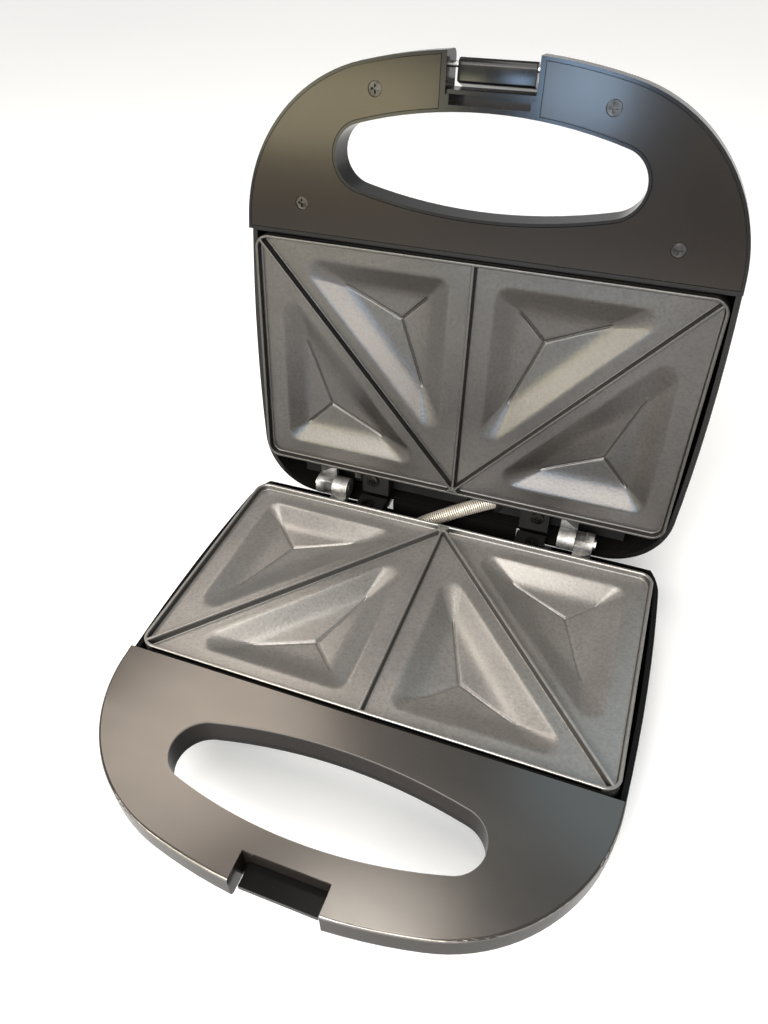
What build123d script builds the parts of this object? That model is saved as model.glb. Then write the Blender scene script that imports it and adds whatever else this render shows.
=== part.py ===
from build123d import *
import math
import os

os.makedirs("parts", exist_ok=True)

# A hinged sandwich maker with two equal cast cooking plates, stored with its lid
# open on the hinge's stop. Both halves are described in a seat: a frame with its
# origin on the hinge axis, x along the axis, y to the rear and z towards the mate.
# Heights in a seat are therefore negative inside the half that it belongs to.

# Driving sizes of the whole
open_angle = 97.2
hinge_height = 45.0
plate_width = 220.0
plate_depth = 124.2
hinge_setback = 11.0
side_room = 5.0
front_room = 2.0
handle_length = 80.3
lid_overhang = 63.36
overrun = 1.0

# Places of the whole that follow from them
half_plate = plate_width / 2
plate_mid = hinge_setback + plate_depth / 2
plate_front = hinge_setback + plate_depth
side_half_width = half_plate + side_room
handle_start = plate_front + front_room
front_reach = handle_start + handle_length
hinge_back = (front_reach - lid_overhang) / 2

# Heights below the plane where the halves meet
rim_gap = 0.12
deck_height = 1.0
deck_seam_height = 12.0
handle_bottom = 15.0
housing_rim = 5.0
housing_bottom = 38.0

# Plan outline of both halves
side_radius = 1000.0
side_widest = 75.0
shoulder_radius = 75.0
front_bow_share = 2.087
front_radius = side_half_width * front_bow_share
rear_reach = 10.5
rear_corner = 32.0
wall = 2.2
front_wall = 1.7
skin = 2.0
side_draft = 1.2
bottom_rounding = 12.0
handle_rounding = 4.0
tray_rounding = 2.6
deck_rounding = 1.2
rounding_steps = 4
rear_slope_start = 3.7
rear_slope_end = 18.2
screen_room = 1.5
screen_top = 9.0
screen_front = 5.0

# Finger hole through the handles
oval_front_land = 22.1
oval_front = front_reach - oval_front_land
oval_front_radius = 207.0
oval_rear_land = 16.8
oval_rear = handle_start + oval_rear_land
oval_rear_radius = 244.0
oval_end_share = 1 / 3
oval_end_radius = (oval_front - oval_rear) * oval_end_share
oval_lip = 1.3

# Cooking plate
plate_corner = 7.0
plate_web = 3.2
rim_height = 3.4
rim_width = 1.5
skirt_height = 6.0
skirt_width = 2.0
ridge_width = 2.6
ridge_draft = 13.0
ridge_vertex = 2.0
ridge_end_room = 1.8
vertex_width = 9.0
pocket_edge_margin = 11.0
pocket_side_margin = 12.0
pocket_front_margin = 9.8
pocket_ridge_margin = 8.15
pocket_centre_margin = 11.0
pocket_corner = 6.0
pocket_wall_run = 11.0
pocket_depth = 5.0
floor_corner = 1.2
floor_fall = 1.0
cup_wall = 2.4

# Heating element and its cast track
element_radius = 3.25
element_side_room = 32.0
element_leg_x = half_plate - element_side_room
element_front_room = 31.2
element_front = plate_front - element_front_room
element_rear_room = 13.0
element_rear = hinge_setback + element_rear_room
element_bend = 16.0
track_width = 11.0
element_drop = 3.2
element_clearance = 0.15
cold_pin_radius = 1.2
cold_pin_length = 7.0
collar_radius = 2.2
collar_length = 3.0

# Screw bosses of the plates
boss_radius = 4.3
boss_height = 16.5
boss_share = 0.5
front_boss_back = 17.2
thread_depth = 11.0
screw_radius = 1.95
screw_hole_radius = 2.0
screw_head_radius = 3.6
screw_head_height = 2.2
cross_width = 1.0
cross_depth = 1.2
post_radius = 5.6
post_cap = 3.0
post_well_radius = 4.1
screw_slip = 0.25

# Hinge knuckles cast on the plates
knuckle_radius = 5.75
hub_radius = 4.0
knuckle_share = 0.54
knuckle_inner = half_plate * knuckle_share
knuckle_length = 8.8
dog_length = 5.0
disc_length = 4.5
dog_from = 233.0
dog_to = 303.0
closed_dog_slack = 5.0
stop_slack = 0.5
hinge_end_gap = 0.15
dog_ring_gap = 0.25
neck_top = 2.4
pin_radius = 2.0
pin_slip = 0.05
pin_head_radius = 3.0
pin_head_length = 1.2
lug_room = 3.7
lug_x = knuckle_inner - lug_room
lug_width = 3.4
lug_reach = 5.2
lug_top = 3.4
lug_height = 4.0

# Rear bridge between the hinges, and the sleeve of the lid's leads
bridge_room = 6.4
bridge_half_width = knuckle_inner - bridge_room
bridge_top = 4.2
bridge_rear = 2.5
bridge_front_gap = 0.6
shelf_room = 23.0
shelf_half_width = side_half_width - shelf_room
recess_room = 15.5
recess_half_width = bridge_half_width - recess_room
recess_floor = 13.0
bridge_screw_room = 6.3
bridge_screw_x = bridge_half_width - bridge_screw_room
bridge_screw_y = 6.0
pillar_radius = 3.6
pillar_foot_gap = 0.2
bridge_screw_length = 12.0
bridge_thread_radius = 1.45
conduit_x = 18.0
conduit_y = 1.5
conduit_z = 14.5
conduit_radius = 4.0
conduit_bow = 4.0
wire_radius = 0.4
wire_pitch = 1.36
wire_sides = 6
socket_gap = 0.3
socket_wall = 2.0
socket_mouth = 5.0

# Reflector
reflector_sheet = 0.6
reflector_edge = 4.0
reflector_side_gap = 13.0
reflector_end_gap = 6.0
reflector_corner = 10.0
reflector_notch_width = 34.0
reflector_notch_depth = 30.0

# Thermostat and thermal fuse, under the plates behind the pockets
sensor_back = 17.0
thermostat_radius = 7.8
thermostat_height = 7.0
thermostat_neck_radius = 5.6
thermostat_neck_height = 3.0
tab_width = 4.0
tab_thickness = 0.8
tab_length = 6.0
tab_spacing = 6.4
bracket_sheet = 0.8
bracket_half_length = 15.0
bracket_width = 9.0
fuse_radius = 2.0
fuse_length = 11.0
fuse_lead_radius = 0.5
fuse_lead_length = 8.0

# Lower shell fittings
foot_side_room = 30.0
foot_x = side_half_width - foot_side_room
foot_rear = 14.0
foot_front_room = 23.2
foot_front = plate_front - foot_front_room
foot_radius = 8.0
foot_taper = 1.2
foot_stem_radius = 3.0
foot_stem_hole_slip = 0.1
foot_barb = 0.8
vent_length = 34.0
vent_width = 3.0
vent_pitch = 9.0
vent_rows = 4
vent_spacing = 60.0
gland_x = 30.0
gland_height = 26.0
gland_bore = 3.0
gland_body_radius = 4.2
gland_flange = 2.0
gland_flange_radius = 6.0
gland_barb = 0.8
gland_pad_radius = 7.0
gland_pad_length = 5.6
gland_pad_reach = 0.4
gland_slip = 0.05
block_length = 30.0
block_width = 11.0
block_height = 11.0
block_x = 8.0
block_y = 9.5
block_slot_pitch = 9.0
block_screw_radius = 1.8

# Handle fittings
handle_screw_share = 0.426
handle_screw_front_x = side_half_width * handle_screw_share
screw_front_room = 16.5
handle_screw_front_y = front_reach - screw_front_room
screw_side_room = 30.7
handle_screw_side_x = side_half_width - screw_side_room
screw_rear_room = 14.6
handle_screw_side_y = handle_start + screw_rear_room
handle_post_radius = 4.2
handle_screw_radius = 1.45
handle_screw_hole = 1.5
handle_head_radius = 2.9
handle_head_height = 1.5
handle_sink = 0.25
insert_gap = 0.25
insert_rim = 1.3
insert_ledge = 1.6
insert_setback = 1.5
handle_thread_depth = 7.0
insert_thickness = 2.2
deck_thickness = 2.2
notch_half_width = 18.2
notch_length = 12.7
notch_back = front_reach - notch_length
ledge_half_width = 16.2
ledge_top = 9.3
ledge_thickness = 2.5
ledge_room = 3.1
ledge_front = front_reach - ledge_room
ledge_length = 9.5
ledge_root = front_reach - ledge_length

# Latch
slot_half_width = 18.7
slot_wall = 2.2
slot_length = 14.7
slot_back = front_reach - slot_length
rib_thickness = 1.6
rib_sink = 1.5
slot_pocket_gap = 3.8
slot_pocket_half_width = 17.0
slot_pocket_floor = 12.5
latch_pin_room = 6.5
latch_pin_y = front_reach - latch_pin_room
latch_pin_z = 12.0
latch_pin_radius = 1.25
latch_pin_slip = 0.05
latch_half_width = 16.3
latch_barrel_radius = 2.7
latch_turn = 197.0
latch_arm_offset = 3.8
latch_arm_thickness = 2.6
latch_arm_length = 26.8
latch_hook_reach = 3.5
latch_hook_thickness = 2.6

# Lamps and lenses in the lid
lamp_x = 14.0
lamp_room = 35.2
lamp_y = plate_front - lamp_room
lamp_radius = 2.9
lamp_length = 10.0
lens_radius = 4.2
lens_flange_radius = 5.4
lens_flange = 1.0
lens_proud = 0.6
lens_slip = 0.05
lamp_gap = 0.4
holder_length = 58.0
holder_width = 12.0
holder_thickness = 2.0
holder_post_radius = 2.6
holder_post_x = 24.0
lamp_reach_above_holder = 4.0

# Places that follow from the sizes above
field = rim_gap + rim_height
pocket_floor_depth = field + pocket_depth
pocket_apex = pocket_floor_depth + floor_fall
cup_bottom = pocket_apex + cup_wall
element_depth = cup_bottom + element_drop
boss_end = field + boss_height
reflector_under = boss_end + reflector_sheet
inside_floor = housing_bottom - wall
dog_start = knuckle_inner + knuckle_length
disc_start = dog_start + dog_length
disc_end = disc_start + disc_length
ridge_top_point = Vector(0, -(hinge_setback + ridge_vertex))
ridge_low_point = Vector(half_plate - rim_width, -(plate_front - rim_width))
ridge_run = ridge_low_point - ridge_top_point
ridge_way = ridge_run.normalized()
ridge_side = Vector(-ridge_way.Y, ridge_way.X)

# The lower half's seat, and the upper half's: the same frame turned over and opened
base_seat = Plane(origin=(0, hinge_back, hinge_height), x_dir=(1, 0, 0), z_dir=(0, 0, 1))
opened = math.radians(open_angle)
lid_face = (0, -math.sin(opened), -math.cos(opened))
lid_seat = Plane(origin=(0, hinge_back, hinge_height), x_dir=(-1, 0, 0), z_dir=lid_face)


def side_view(seat, x=0.0):
    """Plane across the hinge axis at x, with the seat's y and z as its axes."""
    return Plane(origin=seat.from_local_coords((x, 0, 0)), x_dir=seat.y_dir, z_dir=seat.x_dir)


def meet(centre_a, radius_a, centre_b, radius_b):
    """Point on the right where two circles cross."""
    apart = centre_b - centre_a
    along = (apart.length**2 + radius_a**2 - radius_b**2) / (2 * apart.length)
    across = math.sqrt(radius_a**2 - along**2)
    way = apart.normalized()
    first = centre_a + way * along + Vector(-way.Y, way.X) * across
    second = centre_a + way * along - Vector(-way.Y, way.X) * across
    return first if first.X > second.X else second


def touch(centre, radius, towards):
    """Point of a circle in the direction of another point."""
    return centre + (towards - centre).normalized() * radius


def round_arc(centre, start, end):
    """Arc about a centre, by the shorter way."""
    middle = (start - centre) + (end - centre)
    return ThreePointArc(start, centre + middle.normalized() * (start - centre).length, end)


side_centre = Vector(side_half_width - side_radius, -side_widest)
front_centre = Vector(0, front_radius - front_reach)
shoulder_centre = meet(
    side_centre, side_radius - shoulder_radius, front_centre, front_radius - shoulder_radius
)
corner_y = rear_reach - rear_corner
corner_run = side_radius - rear_corner
corner_x = side_centre.X + math.sqrt(corner_run**2 - (corner_y - side_centre.Y) ** 2)
corner_centre = Vector(corner_x, corner_y)


def side_point(inset, distance):
    """Point of the outline's side at a distance in front of the hinge axis."""
    radius = side_radius - inset
    return Vector(side_centre.X + math.sqrt(radius**2 - (distance - side_widest) ** 2), -distance)


def handle_outline(inset, start):
    """Plan of a handle, drawn in by an inset, from its start to the front."""
    front_end = touch(front_centre, front_radius - inset, shoulder_centre)
    shoulder_end = touch(side_centre, side_radius - inset, shoulder_centre)
    short_side = start + shoulder_centre.Y
    if start < -shoulder_end.Y:
        root = side_point(inset, start)
    else:
        half_chord = math.sqrt((shoulder_radius - inset) ** 2 - short_side**2)
        root = Vector(shoulder_centre.X + half_chord, -start)
    with BuildLine() as outline:
        round_arc(front_centre, Vector(0, inset - front_reach), front_end)
        if start < -shoulder_end.Y:
            round_arc(shoulder_centre, front_end, shoulder_end)
            round_arc(side_centre, shoulder_end, root)
        else:
            round_arc(shoulder_centre, front_end, root)
        Line(root, (0, -start))
        mirror(about=Plane.YZ)
    return make_face(outline.line.edges())


def body_outline(inset, start):
    """Plan of the deep part behind the handle, drawn in by an inset."""
    root = side_point(inset, start)
    side_end = touch(side_centre, side_radius - inset, corner_centre)
    corner_end = Vector(corner_x, rear_reach - inset)
    with BuildLine() as outline:
        Line((0, -start), root)
        round_arc(side_centre, root, side_end)
        round_arc(corner_centre, side_end, corner_end)
        Line(corner_end, (0, rear_reach - inset))
        mirror(about=Plane.YZ)
    return make_face(outline.line.edges())


def oval_outline(grow=0.0, mode=Mode.ADD):
    """Finger hole: two long arcs with a round end on each side."""
    front_centre = Vector(0, oval_front_radius - oval_front)
    rear_centre = Vector(0, -oval_rear - oval_rear_radius)
    end_centre = meet(
        front_centre,
        oval_front_radius - oval_end_radius,
        rear_centre,
        oval_rear_radius - oval_end_radius,
    )
    front_end = touch(front_centre, oval_front_radius + grow, end_centre)
    rear_end = touch(rear_centre, oval_rear_radius + grow, end_centre)
    tip = end_centre + Vector(oval_end_radius + grow, 0)
    with BuildLine() as outline:
        round_arc(front_centre, Vector(0, -oval_front - grow), front_end)
        ThreePointArc(front_end, tip, rear_end)
        round_arc(rear_centre, rear_end, Vector(0, -oval_rear + grow))
        mirror(about=Plane.YZ)
    return make_face(outline.line.edges(), mode=mode)


def strip(half_width, y_from, y_to, mode=Mode.ADD):
    """Rectangle about the middle between two distances in front of the hinge axis."""
    with Locations((0, -(y_from + y_to) / 2)):
        return Rectangle(2 * half_width, abs(y_to - y_from), mode=mode)


def shell_levels(start, end, rounding, inset, front_inset):
    """Depth, inset and front inset of each level of a tub whose far edge is rounded."""
    levels = [(start, inset, front_inset)]
    for step in range(rounding_steps + 1):
        turn = math.radians(90 * step / rounding_steps)
        depth = end - rounding * (1 - math.sin(turn))
        rounded = rounding * (1 - math.cos(turn))
        levels.append((depth, inset + side_draft + rounded, front_inset + rounded))
    return levels


def body_sections(seat, start, end, rounding, inset, front_inset):
    """Levels of the deep part of a shell, behind the handle."""
    sections = []
    for depth, shrink, front_shrink in shell_levels(start, end, rounding, inset, front_inset):
        with BuildSketch(seat.offset(-depth), mode=Mode.PRIVATE) as level:
            body_outline(shrink, handle_start - front_shrink)
        sections.append(level.sketch.face())
    return sections


def handle_block(piece, seat, start, end, rounding):
    """Flat handle part of a shell, with its outer edge rounded at the far level."""
    with BuildSketch(seat.offset(-start)) as plan:
        handle_outline(0.0, handle_start)
    extrude(plan.sketch, amount=start - end)
    sense = 1 if end > start else -1
    depth_axis = Axis(seat.origin, -seat.z_dir * sense)
    far_edges = piece.edges(Select.LAST).filter_by(GeomType.CIRCLE).group_by(depth_axis)[-1]
    fillet(far_edges, rounding)


def handle_screw_places():
    """The four screw places of a handle."""
    places = []
    for side in (-1, 1):
        places.append((side * handle_screw_front_x, -handle_screw_front_y))
        places.append((side * handle_screw_side_x, -handle_screw_side_y))
    return places


def boss_places():
    """Screw bosses under a plate: on both diagonals and on the middle ridge."""
    half_way = ridge_top_point + ridge_run * boss_share
    front_y = -(plate_front - front_boss_back)
    return [(half_way.X, half_way.Y), (-half_way.X, half_way.Y), (0, front_y)]


def foot_places():
    """The four feet."""
    return [(side * foot_x, -y) for side in (-1, 1) for y in (foot_rear, foot_front)]


def pocket_lines(shrink):
    """Corners of the rear outer pocket and of the front inner one, drawn in by shrink."""
    slope = ridge_side
    rear = -(hinge_setback + pocket_edge_margin + shrink)
    side = half_plate - pocket_side_margin - shrink
    ridge_level = slope.dot(ridge_top_point) + pocket_ridge_margin + shrink
    outer = [
        ((ridge_level - slope.Y * rear) / slope.X, rear),
        (side, rear),
        (side, (ridge_level - slope.X * side) / slope.Y),
    ]
    front = -(plate_front - pocket_front_margin - shrink)
    middle = pocket_centre_margin + shrink
    ridge_level = slope.dot(ridge_top_point) - pocket_ridge_margin - shrink
    inner = [
        (middle, (ridge_level - slope.X * middle) / slope.Y),
        ((ridge_level - slope.Y * front) / slope.X, front),
        (middle, front),
    ]
    return [outer, inner]


def pocket_face(seat, corners, side, depth, corner):
    """One level of a pocket, with rounded corners."""
    with BuildSketch(seat.offset(-depth), mode=Mode.PRIVATE) as level:
        with BuildLine():
            Polyline(*[(side * x, y) for x, y in corners], close=True)
        make_face()
        fillet(level.vertices(), corner)
    return level.sketch.face()


def pocket_centre(corners):
    """Point at the same distance from the three edges."""
    points = [Vector(x, y) for x, y in corners]
    weights = [(points[k - 1] - points[k - 2]).length for k in range(3)]
    total = sum(weights)
    x = sum(w * p.X for w, p in zip(weights, points)) / total
    y = sum(w * p.Y for w, p in zip(weights, points)) / total
    return x, y


def element_corners(reach):
    """Corners of the heating element's course: a long U open to the rear."""
    rear = -element_rear + reach
    return [
        (-element_leg_x, rear),
        (-element_leg_x, -element_front),
        (element_leg_x, -element_front),
        (element_leg_x, rear),
    ]


def element_path(seat, depth, reach=0.0):
    """Course of the heating element at a depth."""
    with BuildLine(seat.offset(-depth)) as course:
        FilletPolyline(*element_corners(reach), radius=element_bend)
    return course.wire()


def element_start(seat, depth, reach=0.0):
    """Plane across the element's course at its first end."""
    place = seat.from_local_coords((-element_leg_x, -element_rear + reach, -depth))
    return Plane(origin=place, x_dir=seat.x_dir, z_dir=-seat.y_dir)


def sector(start, end, outer, inner=0.0):
    """Ring sector about the hinge axis, from one angle to another, in a side view."""
    def ray(angle, radius):
        turn = math.radians(angle)
        return (radius * math.cos(turn), radius * math.sin(turn))

    middle = (start + end) / 2
    with BuildLine() as outline:
        ThreePointArc(ray(start, outer), ray(middle, outer), ray(end, outer))
        if inner:
            ThreePointArc(ray(end, inner), ray(middle, inner), ray(start, inner))
            Line(ray(start, inner), ray(start, outer))
            Line(ray(end, outer), ray(end, inner))
        else:
            Line(ray(end, outer), (0, 0))
            Line((0, 0), ray(start, outer))
    return make_face(outline.line.edges())


def neck_face():
    """Neck that joins a knuckle to its plate, in a side view."""
    with Locations((-(hinge_setback + rim_width) / 2, -(neck_top + knuckle_radius) / 2)):
        return Rectangle(hinge_setback + rim_width, knuckle_radius - neck_top)


def cooking_plate(seat):
    """Cast plate: field, rim, ridges, four pockets, element track, bosses and knuckles."""
    lug_from = 360 - dog_to - open_angle + 360 - stop_slack
    lug_start = 360 - dog_from + closed_dog_slack
    with BuildPart() as plate:
        # Field, with a skirt below and the rim above
        with BuildSketch(seat.offset(-field)):
            with Locations((0, -plate_mid)):
                RectangleRounded(plate_width, plate_depth, plate_corner)
        extrude(amount=-plate_web)
        with BuildSketch(seat.offset(-field)):
            with Locations((0, -plate_mid)):
                RectangleRounded(plate_width, plate_depth, plate_corner)
                RectangleRounded(
                    plate_width - 2 * skirt_width,
                    plate_depth - 2 * skirt_width,
                    plate_corner - skirt_width,
                    mode=Mode.SUBTRACT,
                )
        extrude(amount=-skirt_height)
        with BuildSketch(seat.offset(-field)):
            with Locations((0, -plate_mid)):
                RectangleRounded(plate_width, plate_depth, plate_corner)
                RectangleRounded(
                    plate_width - 2 * rim_width,
                    plate_depth - 2 * rim_width,
                    plate_corner - rim_width,
                    mode=Mode.SUBTRACT,
                )
        extrude(amount=rim_height)
        # Ridges that part the sandwich: two diagonals and the middle one
        middle_run = -ridge_top_point.Y - plate_front + rim_width
        ridge_turn = math.degrees(math.atan2(ridge_run.Y, ridge_run.X))
        ridge_length = ridge_run.length - ridge_end_room
        half_way = ridge_top_point + ridge_way * (ridge_length / 2)
        with BuildSketch(seat.offset(-field)):
            with Locations((half_way.X, half_way.Y)):
                Rectangle(ridge_length, ridge_width, rotation=ridge_turn)
            with Locations((-half_way.X, half_way.Y)):
                Rectangle(ridge_length, ridge_width, rotation=-ridge_turn)
            with Locations((0, ridge_top_point.Y + middle_run / 2)):
                Rectangle(ridge_width, -middle_run)
        extrude(amount=rim_height, taper=ridge_draft)
        with BuildSketch(seat.offset(-field)):
            with BuildLine():
                Polyline(
                    (-vertex_width / 2, -hinge_setback - rim_width / 2),
                    (vertex_width / 2, -hinge_setback - rim_width / 2),
                    (0, ridge_top_point.Y - vertex_width / 2),
                    close=True,
                )
            make_face()
        extrude(amount=rim_height)
        # Cups of the pockets under the field, and the track that holds the element
        for corners in pocket_lines(-cup_wall):
            for side in (-1, 1):
                upper = pocket_face(seat, corners, side, field + plate_web / 2, pocket_corner)
                inner = pocket_lines(pocket_wall_run - cup_wall)
                inner = inner[0] if corners == pocket_lines(-cup_wall)[0] else inner[1]
                lower = pocket_face(seat, inner, side, cup_bottom, pocket_corner / 2)
                loft([upper, lower], ruled=True)
        with BuildSketch(seat.offset(-field - plate_web / 2)):
            with BuildLine():
                FilletPolyline(*element_corners(0.0), radius=element_bend)
            trace(line_width=track_width)
        extrude(amount=-(element_depth - field - plate_web / 2))
        # Pockets with sloping walls and a floor of three shallow faces
        outlines = pocket_lines(0.0)
        floors = pocket_lines(pocket_wall_run)
        for outline, floor in zip(outlines, floors):
            centre_x, centre_y = pocket_centre(floor)
            for side in (-1, 1):
                mouth = pocket_face(seat, outline, side, field, pocket_corner)
                bed = pocket_face(seat, floor, side, pocket_floor_depth, floor_corner)
                loft([mouth, bed], ruled=True, mode=Mode.SUBTRACT)
                apex = Vertex(seat.from_local_coords((side * centre_x, centre_y, -pocket_apex)))
                loft([bed, apex], ruled=True, mode=Mode.SUBTRACT)
        # Groove of the element in its track
        groove_radius = element_radius + element_clearance
        groove_start = element_start(seat, element_depth, overrun)
        with BuildSketch(groove_start, mode=Mode.PRIVATE) as groove_section:
            Circle(groove_radius)
        sweep(
            groove_section.sketch.face(),
            path=element_path(seat, element_depth, overrun),
            mode=Mode.SUBTRACT,
        )
        # Screw bosses
        with BuildSketch(seat.offset(-field - plate_web / 2)):
            with Locations(*boss_places()):
                Circle(boss_radius)
        extrude(amount=-(boss_end - field - plate_web / 2))
        with BuildSketch(seat.offset(-boss_end)):
            with Locations(*boss_places()):
                Circle(screw_hole_radius)
        extrude(amount=thread_depth, mode=Mode.SUBTRACT)
        # Outer knuckle on one side: a disc, a hub and the lug that stops the lid
        with BuildSketch(side_view(seat, disc_start)):
            Circle(knuckle_radius)
            neck_face()
        extrude(amount=disc_length)
        with BuildSketch(side_view(seat, dog_start + hinge_end_gap)):
            Circle(hub_radius)
            sector(lug_start, lug_from, knuckle_radius)
            neck_face()
        extrude(amount=dog_length - hinge_end_gap)
        # Inner knuckle on the other side, with its stop dog
        with BuildSketch(side_view(seat, -dog_start)):
            Circle(knuckle_radius)
            neck_face()
        extrude(amount=knuckle_length)
        with BuildSketch(side_view(seat, -dog_start)):
            sector(dog_from, dog_to, knuckle_radius, hub_radius + dog_ring_gap)
        extrude(amount=-(dog_length - hinge_end_gap))
        # Pin bores
        for start in (knuckle_inner, -disc_end):
            with BuildSketch(side_view(seat, start - overrun)):
                Circle(pin_radius + pin_slip)
            extrude(amount=disc_end - knuckle_inner + 2 * overrun, mode=Mode.SUBTRACT)
        # Small cast lug beside the inner knuckle
        with BuildSketch(side_view(seat, lug_x - lug_width / 2)):
            with Locations((-hinge_setback + lug_reach / 2 - rim_width / 2, -lug_top - lug_height / 2)):
                Rectangle(lug_reach + rim_width, lug_height)
        extrude(amount=lug_width)
    return plate


def heating_element(seat):
    """Bent tube with a collar and a cold pin at each end."""
    with BuildPart() as element:
        with BuildSketch(element_start(seat, element_depth), mode=Mode.PRIVATE) as section:
            Circle(element_radius)
        sweep(section.sketch.face(), path=element_path(seat, element_depth))
        for side in (-1, 1):
            place = seat.from_local_coords((side * element_leg_x, -element_rear, -element_depth))
            end = Plane(origin=place, x_dir=seat.x_dir, z_dir=seat.y_dir)
            with BuildSketch(end):
                Circle(collar_radius)
            extrude(amount=collar_length)
            with BuildSketch(end):
                Circle(cold_pin_radius)
            extrude(amount=collar_length + cold_pin_length)
    return element


def reflector(seat):
    """Tin tray with a turned-up edge, notched round the thermostat."""
    width = plate_width - 2 * reflector_side_gap
    depth = plate_depth - 2 * reflector_end_gap
    with BuildPart() as tray:
        with BuildSketch(seat.offset(-reflector_under)):
            with Locations((0, -plate_mid)):
                RectangleRounded(width, depth, reflector_corner)
        extrude(amount=reflector_edge)
        with BuildSketch(seat.offset(-boss_end)):
            with Locations((0, -plate_mid)):
                RectangleRounded(
                    width - 2 * reflector_sheet,
                    depth - 2 * reflector_sheet,
                    reflector_corner - reflector_sheet,
                )
        extrude(amount=reflector_edge, mode=Mode.SUBTRACT)
        with BuildSketch(seat.offset(-reflector_under - overrun)):
            with Locations(*boss_places()):
                Circle(screw_hole_radius + screw_slip)
            notch_edge = plate_mid - depth / 2
            strip(reflector_notch_width / 2, notch_edge - overrun, notch_edge + reflector_notch_depth)
        extrude(amount=reflector_edge + 2 * overrun, mode=Mode.SUBTRACT)
    return tray


def plate_screws(seat):
    """Three screws with heads inside the shell's posts."""
    head_under = reflector_under + post_cap
    with BuildPart() as screws:
        with BuildSketch(seat.offset(-head_under)):
            with Locations(*boss_places()):
                Circle(screw_head_radius)
        extrude(amount=-screw_head_height)
        with BuildSketch(seat.offset(-head_under)):
            with Locations(*boss_places()):
                Circle(screw_radius)
        extrude(amount=post_cap + reflector_sheet + thread_depth - overrun)
        with BuildSketch(seat.offset(-head_under - screw_head_height)):
            with Locations(*boss_places()):
                Rectangle(screw_head_radius, cross_width)
                Rectangle(cross_width, screw_head_radius)
        extrude(amount=cross_depth, mode=Mode.SUBTRACT)
    return screws


def conduit_entry(seat):
    """Place and way of the sleeve where it leaves a half, in the row's frame."""
    return Vector(*seat.from_local_coords((-conduit_x, -conduit_y, -conduit_z)))


# The sleeve's middle line bows towards the front, in the plane of symmetry of its two ends
conduit_low = conduit_entry(base_seat)
conduit_high = conduit_entry(lid_seat)
conduit_chord = conduit_high - conduit_low
bow_way = (-base_seat.y_dir + Vector(0, -math.cos(opened), math.sin(opened))).normalized()
half_chord = conduit_chord.length / 2
conduit_bend = (half_chord**2 + conduit_bow**2) / (2 * conduit_bow)
bend_half_angle = math.asin(half_chord / conduit_bend)
chord_way = conduit_chord.normalized()
leave_way = chord_way * math.cos(bend_half_angle) + bow_way * math.sin(bend_half_angle)
arrive_way = chord_way * math.cos(bend_half_angle) - bow_way * math.sin(bend_half_angle)
straight_end = 2 * conduit_radius
bridge_edge = hinge_setback - bridge_front_gap


def rear_bridge(seat, way):
    """Black block between the hinges with two screws and the sleeve's socket."""
    place = conduit_entry(seat)
    socket = Plane(origin=place - way * straight_end, z_dir=way)
    with BuildPart() as bridge:
        with BuildSketch(side_view(seat, -bridge_half_width)):
            with Locations((-(bridge_edge - bridge_rear) / 2, -(bridge_top + recess_floor + wall) / 2)):
                Rectangle(bridge_edge + bridge_rear, recess_floor + wall - bridge_top)
        extrude(amount=2 * bridge_half_width)
        with BuildSketch(side_view(seat, -shelf_half_width)):
            with Locations((-(bridge_edge - bridge_rear) / 2, -recess_floor - wall / 2)):
                Rectangle(bridge_edge + bridge_rear, wall)
        extrude(amount=2 * shelf_half_width)
        with BuildSketch(side_view(seat, -recess_half_width)):
            with Locations((0, -(recess_floor - overrun) / 2)):
                Rectangle(2 * hinge_setback, recess_floor + overrun)
        extrude(amount=2 * recess_half_width, mode=Mode.SUBTRACT)
        # Socket of the sleeve
        with BuildSketch(socket.offset(-socket_wall)):
            Circle(conduit_radius + socket_gap + socket_wall)
        extrude(amount=straight_end + socket_wall - socket_mouth / 2)
        with BuildSketch(socket):
            Circle(conduit_radius + socket_gap)
        extrude(amount=straight_end, mode=Mode.SUBTRACT)
        with BuildSketch(socket.offset(straight_end - socket_mouth / 2)):
            Circle(conduit_radius + socket_wall)
        extrude(amount=2 * straight_end, mode=Mode.SUBTRACT)
        # Pillars that carry the block on the shell, with the screw holes
        for side in (-1, 1):
            with BuildSketch(seat.offset(-bridge_top - overrun)):
                with Locations((side * bridge_screw_x, -bridge_screw_y)):
                    Circle(pillar_radius)
            extrude(amount=-(inside_floor - pillar_foot_gap - bridge_top - overrun))
            with BuildSketch(seat.offset(-bridge_top)):
                with Locations((side * bridge_screw_x, -bridge_screw_y)):
                    Circle(bridge_thread_radius + pin_slip)
            extrude(amount=-bridge_screw_length, mode=Mode.SUBTRACT)
    return bridge


def bridge_screws(seat):
    """The two cross-head screws of a rear bridge."""
    places = [(side * bridge_screw_x, -bridge_screw_y) for side in (-1, 1)]
    with BuildPart() as screws:
        with BuildSketch(seat.offset(-bridge_top)):
            with Locations(*places):
                Circle(screw_head_radius - screw_slip)
        extrude(amount=handle_head_height)
        with BuildSketch(seat.offset(-bridge_top)):
            with Locations(*places):
                Circle(bridge_thread_radius)
        extrude(amount=-(bridge_screw_length - overrun))
        with BuildSketch(seat.offset(-bridge_top + handle_head_height)):
            with Locations(*places):
                Rectangle(screw_head_radius, cross_width)
                Rectangle(cross_width, screw_head_radius)
        extrude(amount=-(handle_head_height - handle_sink), mode=Mode.SUBTRACT)
    return screws


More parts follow.
